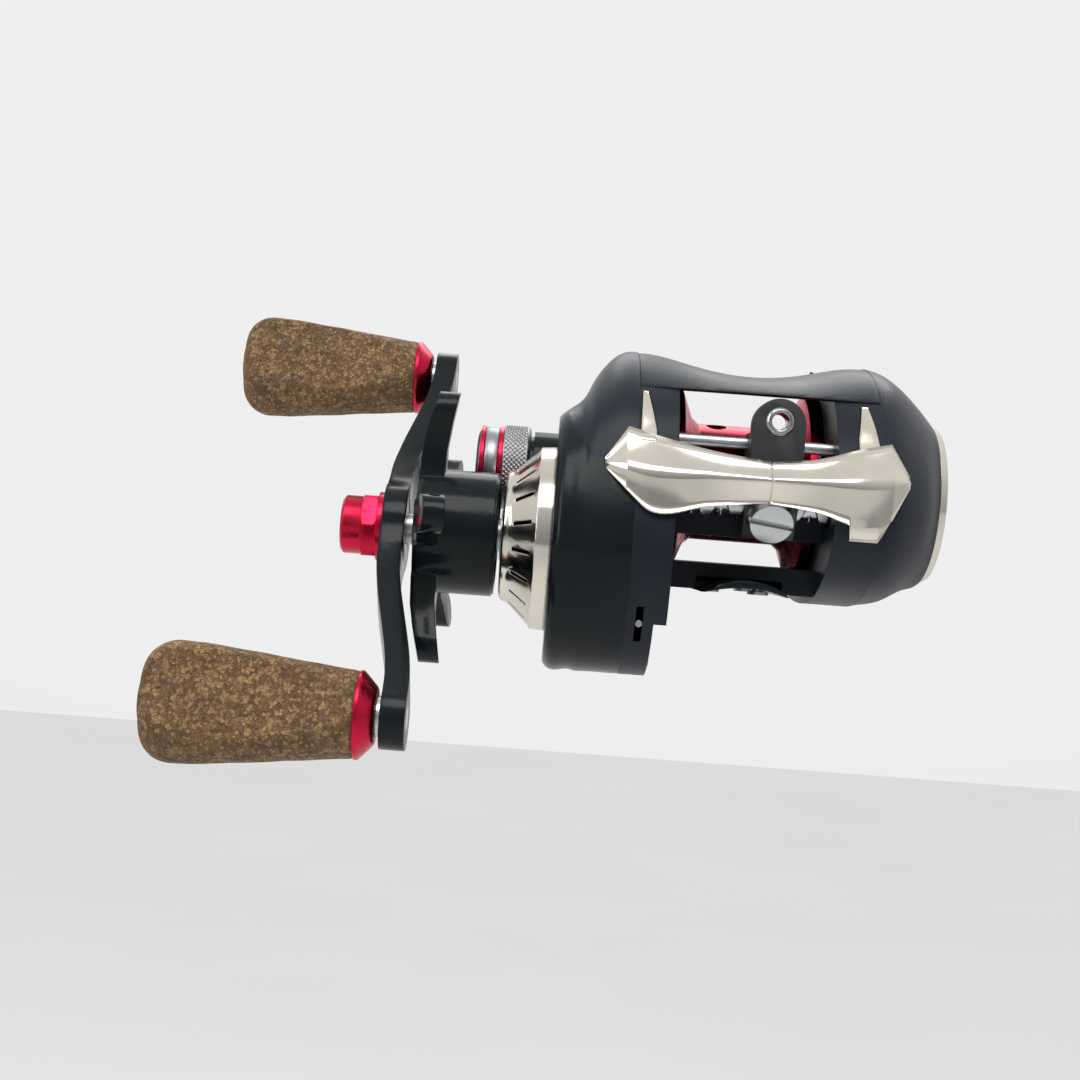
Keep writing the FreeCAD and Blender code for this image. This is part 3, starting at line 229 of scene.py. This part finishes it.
def cork():
    """Pressed cork and rubber crumbs: tan flecks, brown grains, near-black bark."""
    f = Finish("cork", edge=0.1)
    crumbs = f.nodes.new("ShaderNodeSeparateColor")
    drift = f.nodes.new("ShaderNodeTexNoise")
    drift.inputs["Scale"].default_value = 1400
    f.links.new(f.place, drift.inputs["Vector"])
    small_drift = f.vector("MULTIPLY", drift.outputs["Color"], (0.0007,) * 3).outputs["Vector"]
    warp = f.vector("ADD", f.place, small_drift).outputs["Vector"]
    grains = f.nodes.new("ShaderNodeTexVoronoi")
    grains.inputs["Scale"].default_value = 1150
    grains.inputs["Randomness"].default_value = 1.0
    f.links.new(warp, grains.inputs["Vector"])
    f.links.new(grains.outputs["Color"], crumbs.inputs[0])
    tone = f.ramp(crumbs.outputs[0], [(0.0, (0.092, 0.047, 0.016)), (0.25, (0.120, 0.064, 0.022)),
                                      (0.55, (0.148, 0.081, 0.028)), (0.80, (0.180, 0.100, 0.036)),
                                      (0.95, (0.30, 0.18, 0.074))])
    small = f.cells(2300)
    small_tone = f.nodes.new("ShaderNodeSeparateColor")
    f.links.new(small, small_tone.inputs[0])
    flecks = f.ramp(small_tone.outputs[1], [(0.84, 0.0), (0.90, 0.8)])
    colour = f.mix(flecks, tone, (0.34, 0.21, 0.095))
    clouds = f.ramp(f.grain(150, 4), [(0.36, (0.78, 0.76, 0.74)), (0.62, (1.05, 1.03, 1.0))])
    colour = f.mix(1.0, colour, clouds, "MULTIPLY")
    bark = f.ramp(f.grain(520, 5), [(0.68, 0.0), (0.74, 0.8)])
    colour = f.mix(bark, colour, (0.045, 0.030, 0.020))
    seams = f.ramp(f.cells(1150, "Distance", "DISTANCE_TO_EDGE"), [(0.0, 0.0), (0.09, 1.0)])
    colour = f.mix(f.ramp(seams, [(0.0, 0.35), (1.0, 0.0)]), colour, (0.08, 0.038, 0.016))
    f.relief(seams, 0.10)
    f.relief(f.grain(1900, 4), 0.07)
    roughness = f.ramp(f.grain(700, 3), [(0.3, 0.62), (0.7, 0.86)])
    return f.done(colour, roughness)


def cover_paint():
    """Handle-side cover: gloss black on the round gear case, satin charcoal on the shoulder."""
    f = Finish("cover_paint", edge=0.3, shine=0.16)
    _, y, z = f.split()
    across = f.sum("DIVIDE", f.sum("SUBTRACT", y, HANDLE_AXIS.y), 20.4 * MM)
    up = f.sum("DIVIDE", f.sum("SUBTRACT", z, HANDLE_AXIS.z), 23.9 * MM)
    reach = f.sum("ADD", f.sum("MULTIPLY", across, across), f.sum("MULTIPLY", up, up))
    shoulder = f.ramp(f.sum("MULTIPLY", reach, 0.9), [(0.905, 0.0), (0.925, 1.0)])
    gloss = f.mix(f.ramp(f.grain(60, 3), [(0.3, 0.0), (0.7, 1.0)]),
                  (0.0040, 0.0066, 0.0080), (0.0065, 0.0100, 0.0120))
    satin = f.mix(f.ramp(f.grain(60, 3), [(0.3, 0.0), (0.7, 1.0)]), *CHARCOAL)
    colour = f.mix(shoulder, gloss, satin)
    colour = f.mix(f.worn_edges(), colour, (0.05, 0.06, 0.065))
    smudge = f.ramp(f.grain(45, 5), [(0.38, 0.0), (0.66, 0.12)])
    roughness = f.mix(1.0, f.mix(shoulder, (0.13,) * 3, (0.30,) * 3), smudge, "ADD")
    f.relief(f.grain(1000, 2), 0.02)
    return f.done(colour, roughness)


def carbon():
    """Woven carbon: two sets of strands over and under each other."""
    f = Finish("carbon_washer", coat=0.3, edge=0.1)
    weave = f.nodes.new("ShaderNodeTexChecker")
    weave.inputs["Scale"].default_value = 1100
    f.links.new(f.place, weave.inputs["Vector"])
    strands = f.grain(1.0, 2, f.along((600, 7000, 600)))
    colour = f.mix(weave.outputs["Fac"], (0.012, 0.012, 0.013), (0.035, 0.035, 0.037))
    colour = f.mix(f.ramp(strands, [(0.4, 0.0), (0.7, 0.5)]), colour, (0.06, 0.06, 0.062))
    f.relief(weave.outputs["Fac"], 0.03)
    return f.done(colour, f.ramp(strands, [(0.3, 0.35), (0.7, 0.6)]))


FINISHES = {
    "charcoal_paint": paint("charcoal_paint", *CHARCOAL, 0.28, 0.02, (0.05, 0.055, 0.065)),
    "gloss_black": paint("gloss_black", (0.0032, 0.0060, 0.0070), (0.0055, 0.0090, 0.0105), 0.13, 0.06,
                         (0.05, 0.06, 0.065), 0.03, 0.4),
    "champagne_chrome": plated("champagne_chrome", (0.72, 0.675, 0.59), (0.62, 0.58, 0.50), 0.10),
    "red_anodised": turned_metal("red_anodised", (0.60, 0.018, 0.058), (0.48, 0.012, 0.040), 0.22),
    "bright_aluminium": turned_metal("bright_aluminium", (0.56, 0.58, 0.58), (0.47, 0.48, 0.49), 0.28),
    "steel": turned_metal("steel", (0.56, 0.57, 0.58), (0.44, 0.45, 0.46), 0.24, 0.003),
    "spring_steel": turned_metal("spring_steel", (0.42, 0.43, 0.45), (0.34, 0.34, 0.36), 0.3, 0.004),
    "brass": turned_metal("brass", (0.72, 0.50, 0.19), (0.58, 0.38, 0.13), 0.24, 0.004),
    "dark_plastic": plastic("dark_plastic", (0.012, 0.013, 0.015), (0.020, 0.021, 0.024), 0.42),
    "gear_plastic": plastic("gear_plastic", (0.50, 0.48, 0.42), (0.60, 0.58, 0.52), 0.45),
    "carbon_washer": carbon(),
    "eye_ring": plated("eye_ring", (0.36, 0.36, 0.37), (0.28, 0.28, 0.29), 0.14),
    "cork": cork(),
    "magnet_plating": turned_metal("magnet_plating", (0.62, 0.60, 0.56), (0.5, 0.48, 0.45), 0.25, 0.003),
}
SPECIAL = {"handle_side_cover": cover_paint()}


# ---- pieces made here ----
def add_piece(name, bm, node, material=None):
    """Turn a bmesh into a shown piece that stands for a CAD node and moves with its body."""
    mesh = bpy.data.meshes.new(name)
    bmesh.ops.recalc_face_normals(bm, faces=bm.faces)
    bm.to_mesh(mesh)
    bm.free()
    obj = bpy.data.objects.new(name, mesh)
    bpy.context.scene.collection.objects.link(obj)
    mesh.materials.append(material or FINISHES[SLOT_OF[node]])
    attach(obj, BODY_OF[node])
    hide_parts(node)
    return obj


def shade(bm, sharp_degrees):
    """Smooth faces, with a hard line where two faces meet at more than the angle."""
    limit = math.radians(sharp_degrees)
    for face in bm.faces:
        face.smooth = True
    for edge in bm.edges:
        if len(edge.link_faces) == 2:
            edge.smooth = edge.calc_face_angle(0.0) < limit


def rounded_copy(node, width, sharp_degrees=28.0, segments=2):
    """A copy of a CAD node with its corners really rounded over."""
    bm = bmesh.new()
    bm.from_mesh(NODES[node].data)
    bmesh.ops.remove_doubles(bm, verts=bm.verts, dist=2e-6)
    bmesh.ops.dissolve_limit(bm, angle_limit=math.radians(0.6), verts=bm.verts, edges=bm.edges)
    limit = math.radians(sharp_degrees)
    corners = [edge for edge in bm.edges
               if len(edge.link_faces) == 2 and edge.calc_face_angle(0.0) > limit]
    if width:
        bmesh.ops.bevel(bm, geom=corners, offset=width * MM, offset_type="OFFSET", segments=segments,
                        profile=0.5, affect="EDGES", clamp_overlap=True)
    shade(bm, sharp_degrees + 10.0)
    return add_piece(node + "_rounded", bm, node, SPECIAL.get(node))


def lathe(axis, rings, count, shape=None):
    """Revolve (x, radius) rings, in millimetres, about a line along X.

    shape(x, radius, angle) may vary the radius.
    """
    bm = bmesh.new()
    loops = []
    for x, radius in rings:
        loop = []
        for i in range(count):
            angle = 2 * math.pi * i / count
            r = shape(x, radius, angle) if shape else radius
            loop.append(bm.verts.new((x * MM, axis.y + r * MM * math.cos(angle),
                                      axis.z + r * MM * math.sin(angle))))
        loops.append(loop)
    for first, second in zip(loops, loops[1:]):
        for i in range(count):
            j = (i + 1) % count
            bm.faces.new((first[i], first[j], second[j], second[i]))
    bm.faces.new(loops[0])
    bm.faces.new(loops[-1])
    return bm


def smooth_step(t):
    t = min(1.0, max(0.0, t))
    return t * t * (3 - 2 * t)


def between(table, t):
    """Smooth value at t from rows that start with their own t."""
    for before, after in zip(table, table[1:]):
        if t <= after[0]:
            share = smooth_step((t - before[0]) / (after[0] - before[0])) * 0.4
            share += 0.6 * (t - before[0]) / (after[0] - before[0])
            return [a + (b - a) * share for a, b in zip(before[1:], after[1:])]
    return list(table[-1][1:])


# distance from the collar, half height, half depth, shift up
GRIP_TABLE = [(0.0, 7.1, 7.1, 0.0), (1.2, 7.3, 7.3, 0.0), (9.0, 8.1, 7.7, 0.0), (18.0, 9.1, 8.0, 0.0),
              (26.0, 9.9, 8.1, 0.0), (29.5, 10.0, 8.0, 0.0), (34.7, 9.9, 7.9, 0.0)]
GRIP_CORNER = 5.2          # rounding of the outer end
FACET_TILT = math.radians(18)
FACET_DEPTH = 5.7          # from the knob's axis to its flat faces, halfway along
FACET_RISE = 1.5           # how much further out they are at the ends
FACET_MIDDLE = 17.0        # where along the grip they are deepest
GRIP_COLUMNS = 128
GRIP_ROWS = 70
CORNER_ROWS = 16
CAP_SEAT_R = 4.42          # bore for the end cap
COLLAR_SEAT_R = 3.3        # bore beside the collar


def cork_grip(node, knob):
    """Paddle-shaped cork knob: two scooped flats on a body that swells towards its rounded end."""
    low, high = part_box(node)
    length = (high.x - low.x) / MM
    centre = Vector(JOINT[knob]["pos_m"])
    bm = bmesh.new()
    count = GRIP_COLUMNS
    loops = []
    plan = [((length - GRIP_CORNER) * i / GRIP_ROWS, 0.0) for i in range(GRIP_ROWS + 1)]
    for i in range(1, CORNER_ROWS + 1):
        turn = math.pi / 2 * i / CORNER_ROWS
        plan.append((length - GRIP_CORNER + GRIP_CORNER * math.sin(turn),
                     GRIP_CORNER * (1 - math.cos(turn))))
    for distance, pull in plan:
        half_z, half_y, lift = between(GRIP_TABLE, min(distance, length - 0.01))
        half_z, half_y = half_z - pull * 0.95, half_y - pull * 0.9
        loop = []
        for k in range(count):
            angle = 2 * math.pi * k / count
            squareness = 2.0 + 0.35 * smooth_step(distance / 20.0)
            c, s = math.cos(angle), math.sin(angle)
            y = half_y * math.copysign(abs(c) ** (2 / squareness), c)
            z = half_z * math.copysign(abs(s) ** (2 / squareness), s)
            for side in (-1, 1):
                flat = (side * math.cos(FACET_TILT), -side * math.sin(FACET_TILT))
                rise = FACET_RISE * ((distance - FACET_MIDDLE) / FACET_MIDDLE) ** 2
                depth = FACET_DEPTH + rise - 0.35 * pull
                over = y * flat[0] + z * flat[1] - depth
                if over > 0:
                    y -= over * flat[0]
                    z -= over * flat[1]
            place = Vector((high.x / MM - distance, y, z + lift))
            pit = noise.noise(place * 1.6) + 0.6 * noise.noise(place * 3.7)
            dent = 0.09 * max(0.0, pit - 0.1) + 0.05 * (1 + noise.noise(place * 0.35))
            shrink = 1.0 - dent / max(2.0, math.hypot(y, z))
            loop.append(bm.verts.new((place.x * MM, centre.y + y * shrink * MM,
                                      centre.z + (z * shrink + lift) * MM)))
        loops.append(loop)
    for first, second in zip(loops, loops[1:]):
        for k in range(count):
            n = (k + 1) % count
            bm.faces.new((first[k], first[n], second[n], second[k]))
    # the outer end closes round the cap's bore, the inner end on the collar
    for loop, radius, x in ((loops[-1], CAP_SEAT_R, low.x), (loops[0], COLLAR_SEAT_R, high.x)):
        inner = [bm.verts.new((x, centre.y + radius * MM * math.cos(2 * math.pi * k / count),
                               centre.z + radius * MM * math.sin(2 * math.pi * k / count)))
                 for k in range(count)]
        deep = [bm.verts.new((x + (1.8 if x == low.x else -1.0) * MM, v.co.y, v.co.z)) for v in inner]
        for k in range(count):
            n = (k + 1) % count
            bm.faces.new((loop[k], loop[n], inner[n], inner[k]))
            bm.faces.new((inner[k], inner[n], deep[n], deep[k]))
        bm.faces.new(deep)
    shade(bm, 34)
    return add_piece(node + "_cork", bm, node)


KNURL_START = -44.8
KNURL_END = -40.2
KNURL_COUNT = 56           # diamonds round the cap
KNURL_DEPTH = 0.34
KNURL_R = 8.2
KNURL_ROWS = 44
KNURL_MARGIN = 0.26        # plain edge at each end of the knurl
COLUMNS_PER_DIAMOND = 8


def saw(value):
    """Triangle wave between 0 and 1."""
    return abs((value % 1.0) * 2 - 1)


def cap_surface(x, radius, angle):
    """Diamond knurl on the cap's widest ring."""
    if not KNURL_START + 0.25 < x < KNURL_END - 0.25 or radius < 7.9:
        return radius
    turn = angle / (2 * math.pi) * KNURL_COUNT
    along = (x - KNURL_START) / (2 * math.pi * KNURL_R / KNURL_COUNT)
    return radius - KNURL_DEPTH * max(saw(turn + along), saw(turn - along))


def cast_control_cap():
    """The cap with its bare grey knurl."""
    rings = [(-49.8, 0.4), (-49.8, 5.6), (-49.7, 6.2), (-49.4, 6.8), (-49.2, 7.0), (-48.4, 7.0),
             (-48.4, 7.3), (-48.2, 7.5), (-45.9, 7.5), (-45.7, 7.3), (-45.7, 7.0), (-44.8, 7.0),
             (-44.8, 7.9), (KNURL_START + 0.2, 8.15)]
    span = KNURL_END - KNURL_START - 2 * KNURL_MARGIN
    for i in range(KNURL_ROWS + 1):
        rings.append((KNURL_START + KNURL_MARGIN + span * i / KNURL_ROWS, KNURL_R))
    rings += [(KNURL_END - 0.2, 8.15), (KNURL_END, 7.95), (-39.75, 7.6), (-39.7, 7.2), (-39.7, 6.3),
              (-46.75, 6.3), (-46.8, 2.6), (-40.95, 2.6), (-40.9, 0.4)]
    bm = lathe(SPOOL_AXIS, rings, KNURL_COUNT * COLUMNS_PER_DIAMOND, cap_surface)
    shade(bm, 50)
    bare = turned_metal("bare_knurl", (0.34, 0.34, 0.35), (0.26, 0.26, 0.27), 0.30)
    return add_piece("cast_control_cap_knurled", bm, "cast_control_cap", bare)


WORM_R = 2.6
WORM_ROWS = 220
WORM_HALF = 13.4           # half the length with fine rows
WORM_END = 13.7            # half the length of the thick part
GROOVED_HALF = 12.6        # half the length that the grooves cover
WORM_PITCH = 5.2
GROOVE_WIDTH = 0.16
GROOVE_DEPTH = 0.75


def worm_surface(x, radius, angle):
    """Two grooves that cross, one right-handed and one left-handed."""
    if radius < WORM_R - 0.01 or abs(x) > GROOVED_HALF:
        return radius
    turn = angle / (2 * math.pi)
    depth = 0.0
    for hand in (-1, 1):
        gap = abs(((x / WORM_PITCH + hand * turn) % 1.0) - 0.5)
        depth = max(depth, smooth_step((GROOVE_WIDTH - gap) / 0.05))
    return radius - GROOVE_DEPTH * depth


def worm():
    low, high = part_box("worm_shaft")
    rings = [(low.x / MM, 0.3), (low.x / MM, 1.6), (-17.6, 1.6), (-17.6, 2.0), (-WORM_END, 2.0),
             (-WORM_END, WORM_R)]
    rings += [(-WORM_HALF + 2 * WORM_HALF * i / WORM_ROWS, WORM_R) for i in range(WORM_ROWS + 1)]
    rings += [(WORM_END, WORM_R), (WORM_END, 2.0), (high.x / MM, 2.0), (high.x / MM, 0.3)]
    bm = lathe(WORM_AXIS, rings, 96, worm_surface)
    shade(bm, 40)
    return add_piece("worm_shaft_grooved", bm, "worm_shaft")


# Brow cover in millimetres from the spool axis: X, top (Y, Z), ridge (Y, Z), bottom (Y, Z)
BROW_LEFT = [(-26.4, -31.9, 1.6, -32.6, 0.7, -32.2, -0.2), (-22.6, -30.4, 7.3, -34.8, 0.2, -34.4, -3.8),
             (-18.2, -30.8, 6.2, -36.2, -0.1, -35.6, -7.3), (-8.0, -33.6, 3.9, -36.8, -0.3, -35.6, -5.6),
             (2.0, -34.3, 2.7, -37.2, -0.5, -34.4, -4.4)]
BROW_RIGHT = [(2.0, -34.3, 2.7, -37.2, -0.5, -34.4, -4.4), (10.0, -33.6, 3.8, -36.8, -0.1, -35.6, -5.4),
              (18.0, -31.2, 6.3, -36.2, 0.4, -35.2, -7.4), (23.0, -30.2, 7.5, -34.6, 0.8, -34.3, -5.9),
              (26.2, -31.6, 2.0, -32.6, 1.0, -32.3, 0.0)]
LOBE = [(15.6, 0.0), (15.9, 1.0), (20.6, 1.0), (22.8, 0.0)]   # X, share of the lobe under the right end
LOBE_BOTTOM = (-34.9, -9.8)
LIP = 0.8                  # thickness of the upper and lower edges
BROW_DEPTH = 3.0           # thickness behind the ridge
FACET_ROWS = 5
UPPER_HOLLOW = 0.35        # how far the upper facet dips
LOWER_HOLLOW = 0.12
BROW_STEPS = 56            # sections along each half


def line_through(table, x, corner=None):
    """Smooth curve through the rows of a table, by their first value, with a corner at one row."""
    i = max(k for k in range(len(table) - 1) if table[k][0] <= x + 1e-9)
    a, b = table[i], table[i + 1]
    span = b[0] - a[0]
    t = (x - a[0]) / span
    result = []
    for k in range(1, len(a)):
        chord = (b[k] - a[k]) / span
        start = chord
        end = chord
        if i > 0 and i != corner:
            before = table[i - 1]
            start = 0.5 * (chord + (a[k] - before[k]) / (a[0] - before[0]))
        if i + 2 < len(table) and i + 1 != corner:
            after = table[i + 2]
            end = 0.5 * (chord + (after[k] - b[k]) / (after[0] - b[0]))
        result.append(a[k] * (2 * t ** 3 - 3 * t ** 2 + 1) + b[k] * (3 * t ** 2 - 2 * t ** 3)
                      + span * (start * (t ** 3 - 2 * t ** 2 + t) + end * (t ** 3 - t ** 2)))
    return result


def straight(table, x):
    """Straight-line value at x from (x, value) rows, 0 outside them."""
    for (x0, v0), (x1, v1) in zip(table, table[1:]):
        if x0 <= x <= x1:
            return v0 + (v1 - v0) * (x - x0) / (x1 - x0)
    return 0.0


def brow_section(table, x, corner):
    """Points round the brow at x, as (y, z)."""
    ty, tz, ry, rz, by, bz = line_through(table, x, corner)
    share = straight(LOBE, x)
    low = (by + (LOBE_BOTTOM[0] - by) * share, bz + (min(LOBE_BOTTOM[1], bz) - bz) * share)
    section = []
    for i in range(FACET_ROWS):
        t = i / FACET_ROWS
        hollow = UPPER_HOLLOW * math.sin(math.pi * t)
        section.append((ty + (ry - ty) * t + hollow, tz + (rz - tz) * t - hollow * 0.6))
    for i in range(FACET_ROWS):
        t = i / FACET_ROWS
        hollow = LOWER_HOLLOW * math.sin(math.pi * t)
        section.append((ry + (by - ry) * t + hollow, rz + (bz - rz) * t))
    section += [(by, bz), low, (low[0] + LIP, low[1] + 0.3), (by + LIP, bz + 0.4),
                (ry + BROW_DEPTH, rz), (ty + LIP, tz - 0.4)]
    return section


def skin_loops(bm, loops):
    """Join rings of points and close both ends."""
    rings = [[bm.verts.new(point) for point in loop] for loop in loops]
    count = len(rings[0])
    for first, second in zip(rings, rings[1:]):
        for k in range(count):
            n = (k + 1) % count
            bm.faces.new((first[k], first[n], second[n], second[k]))
    bm.faces.new(rings[0])
    bm.faces.new(rings[-1])


# Pointed fins beside the line opening: Z, front Y, back Y
FIN_LINE = [(4.0, -32.4, -30.6), (6.6, -30.4, -28.5), (11.0, -27.4, -25.4), (14.2, -24.3, -22.6)]


FIN_BASE = 5.0
FIN_TOP = 14.2
FIN_ROWS = 24


def fin(bm, x0, x1, peak_x0, peak_x1):
    """A fin from x0..x1 at its foot, narrowing to peak_x0..peak_x1."""
    loops = []
    for i in range(FIN_ROWS + 1):
        z = FIN_BASE + (FIN_TOP - FIN_BASE) * i / FIN_ROWS
        front, back = line_through(FIN_LINE, z)
        rise0 = max(0.0, (z - 8.0) / 6.2)
        rise1 = max(0.0, (z - 7.0) / 7.2)
        left, right = x0 + (peak_x0 - x0) * rise0, x1 + (peak_x1 - x1) * rise1
        corners = [(left, back), (left + 0.15, front + 0.1), (left + 0.5, front),
                   (right - 0.5, front), (right - 0.15, front + 0.1), (right, back)]
        loops.append([(x * MM, y * MM, SPOOL_AXIS.z + z * MM) for x, y in corners])
    skin_loops(bm, loops)


def brow():
    """The brow cover: two halves that meet at a seam, and two fins."""
    bm = bmesh.new()
    for table, corner in ((BROW_LEFT, 1), (BROW_RIGHT, len(BROW_RIGHT) - 2)):
        start, end = table[0][0], table[-1][0]
        xs = {row[0] for row in table} | {x for x, _ in LOBE if start < x < end}
        xs |= {start + (end - start) * i / BROW_STEPS for i in range(BROW_STEPS + 1)}
        loops = []
        for x in sorted(xs):
            section = brow_section(table, x, corner)
            loops.append([(x * MM, y * MM, SPOOL_AXIS.z + z * MM) for y, z in section])
        skin_loops(bm, loops)
    fin(bm, -20.6, -17.6, -20.4, -19.2)
    fin(bm, 17.3, 21.2, 18.4, 19.8)
    shade(bm, 24)
    return add_piece("brow_cover_facets", bm, "brow_cover")


cork_grip("front_grip", "front_knob_spin")
cork_grip("rear_grip", "rear_knob_spin")
cast_control_cap()
worm()
brow()

# corner radius of each CAD node shown with rounded corners, in millimetres
ROUNDED = {"handle_arm": 0.45, "star_drag": 0.4, "handle_nut": 0.2, "top_hood": 0.35, "reel_foot": 0.25,
           "frame": 0.0, "thumb_bar": 0.6, "line_guide": 0.25, "brake_dial": 0.2, "pawl_cap": 0.12,
           "handle_side_cover": 0.0, "palm_side_cover": 0.0, "spool": 0.0,
           "cover_collar": 0.12, "dial_bezel": 0.0, "front_knob_collar": 0.12, "rear_knob_collar": 0.12,
           "cap_rings": 0.1, "guide_eye": 0.1}
for node, width in ROUNDED.items():
    rounded_copy(node, width)

for node, obj in NODES.items():
    obj.data.materials.clear()
    obj.data.materials.append(SPECIAL.get(node) or FINISHES[SLOT_OF[node]])


# ---- stage ----
FLOOR_HALF = 3.0
FLOOR_HEIGHT = -0.45


def floor():
    """A pale floor well below the reel."""
    bm = bmesh.new()
    bmesh.ops.create_grid(bm, x_segments=24, y_segments=24, size=FLOOR_HALF)
    mesh = bpy.data.meshes.new("floor")
    bm.to_mesh(mesh)
    bm.free()
    obj = bpy.data.objects.new("floor", mesh)
    obj.location = (0, 0, FLOOR_HEIGHT)
    f = Finish("floor_paper", edge=0.01)
    tone = f.ramp(f.grain(3, 3), [(0.3, 0.80), (0.7, 0.83)])
    f.relief(f.grain(600, 2), 0.02)
    f.shader.inputs["Emission Color"].default_value = (1, 1, 1, 1)
    f.shader.inputs["Emission Strength"].default_value = 0.05
    mesh.materials.append(f.done(tone, f.ramp(f.grain(200, 2), [(0.3, 0.7), (0.7, 0.8)])))
    bpy.context.scene.collection.objects.link(obj)


def softbox(name, place, target, size, power, colour=(1, 1, 1)):
    light = bpy.data.lights.new(name, "AREA")
    light.shape = "RECTANGLE"
    light.size, light.size_y = size
    light.energy = power
    light.color = colour
    obj = bpy.data.objects.new(name, light)
    obj.location = place
    obj.rotation_euler = (Vector(target) - Vector(place)).to_track_quat("-Z", "Y").to_euler()
    bpy.context.scene.collection.objects.link(obj)


def surroundings():
    """Pale room: white above and behind the reel, grey in front of it."""
    world = bpy.data.worlds.new("room")
    bpy.context.scene.world = world
    world.use_nodes = True
    nodes, links = world.node_tree.nodes, world.node_tree.links
    back = nodes["Background"]
    direction = nodes.new("ShaderNodeTexCoord").outputs["Generated"]
    towards = nodes.new("ShaderNodeVectorMath")
    towards.operation = "DOT_PRODUCT"
    links.new(direction, towards.inputs[0])
    towards.inputs[1].default_value = (0.0, 0.6, 0.8)
    ramp = nodes.new("ShaderNodeValToRGB")
    ramp.color_ramp.elements[0].position = 0.15
    ramp.color_ramp.elements[0].color = (0.26, 0.26, 0.27, 1)
    ramp.color_ramp.elements[1].position = 0.75
    ramp.color_ramp.elements[1].color = (0.86, 0.86, 0.86, 1)
    share = nodes.new("ShaderNodeMath")
    share.operation = "MULTIPLY_ADD"
    share.inputs[1].default_value = 0.5
    share.inputs[2].default_value = 0.5
    links.new(towards.outputs["Value"], share.inputs[0])
    links.new(share.outputs[0], ramp.inputs["Fac"])
    links.new(ramp.outputs["Color"], back.inputs["Color"])
    back.inputs["Strength"].default_value = 1.0


CAMERA_PLACE = Vector((-36.56, -292.0, 6.88)) * MM
CAMERA_ROLL = math.radians(4.3)
LENS = 50.43


def camera():
    data = bpy.data.cameras.new("camera")
    data.lens = LENS
    data.sensor_width = 36
    data.clip_start = 0.01
    obj = bpy.data.objects.new("camera", data)
    c, s = math.cos(CAMERA_ROLL), math.sin(CAMERA_ROLL)
    obj.matrix_world = Matrix(((c, -s, 0, CAMERA_PLACE.x), (0, 0, -1, CAMERA_PLACE.y),
                               (s, c, 0, CAMERA_PLACE.z), (0, 0, 0, 1)))
    bpy.context.scene.collection.objects.link(obj)
    bpy.context.scene.camera = obj


floor()
surroundings()
softbox("top", (-0.05, -0.34, 0.46), (-0.03, 0, 0.02), (0.50, 0.28), 2.1)
softbox("left", (-0.45, -0.30, 0.20), (-0.03, 0, 0.02), (0.12, 0.40), 0.7)
softbox("back", (0.05, 0.40, 0.45), (0.0, 0, 0.02), (0.50, 0.30), 1.2)
camera()
bpy.context.scene.view_settings.view_transform = "Standard"
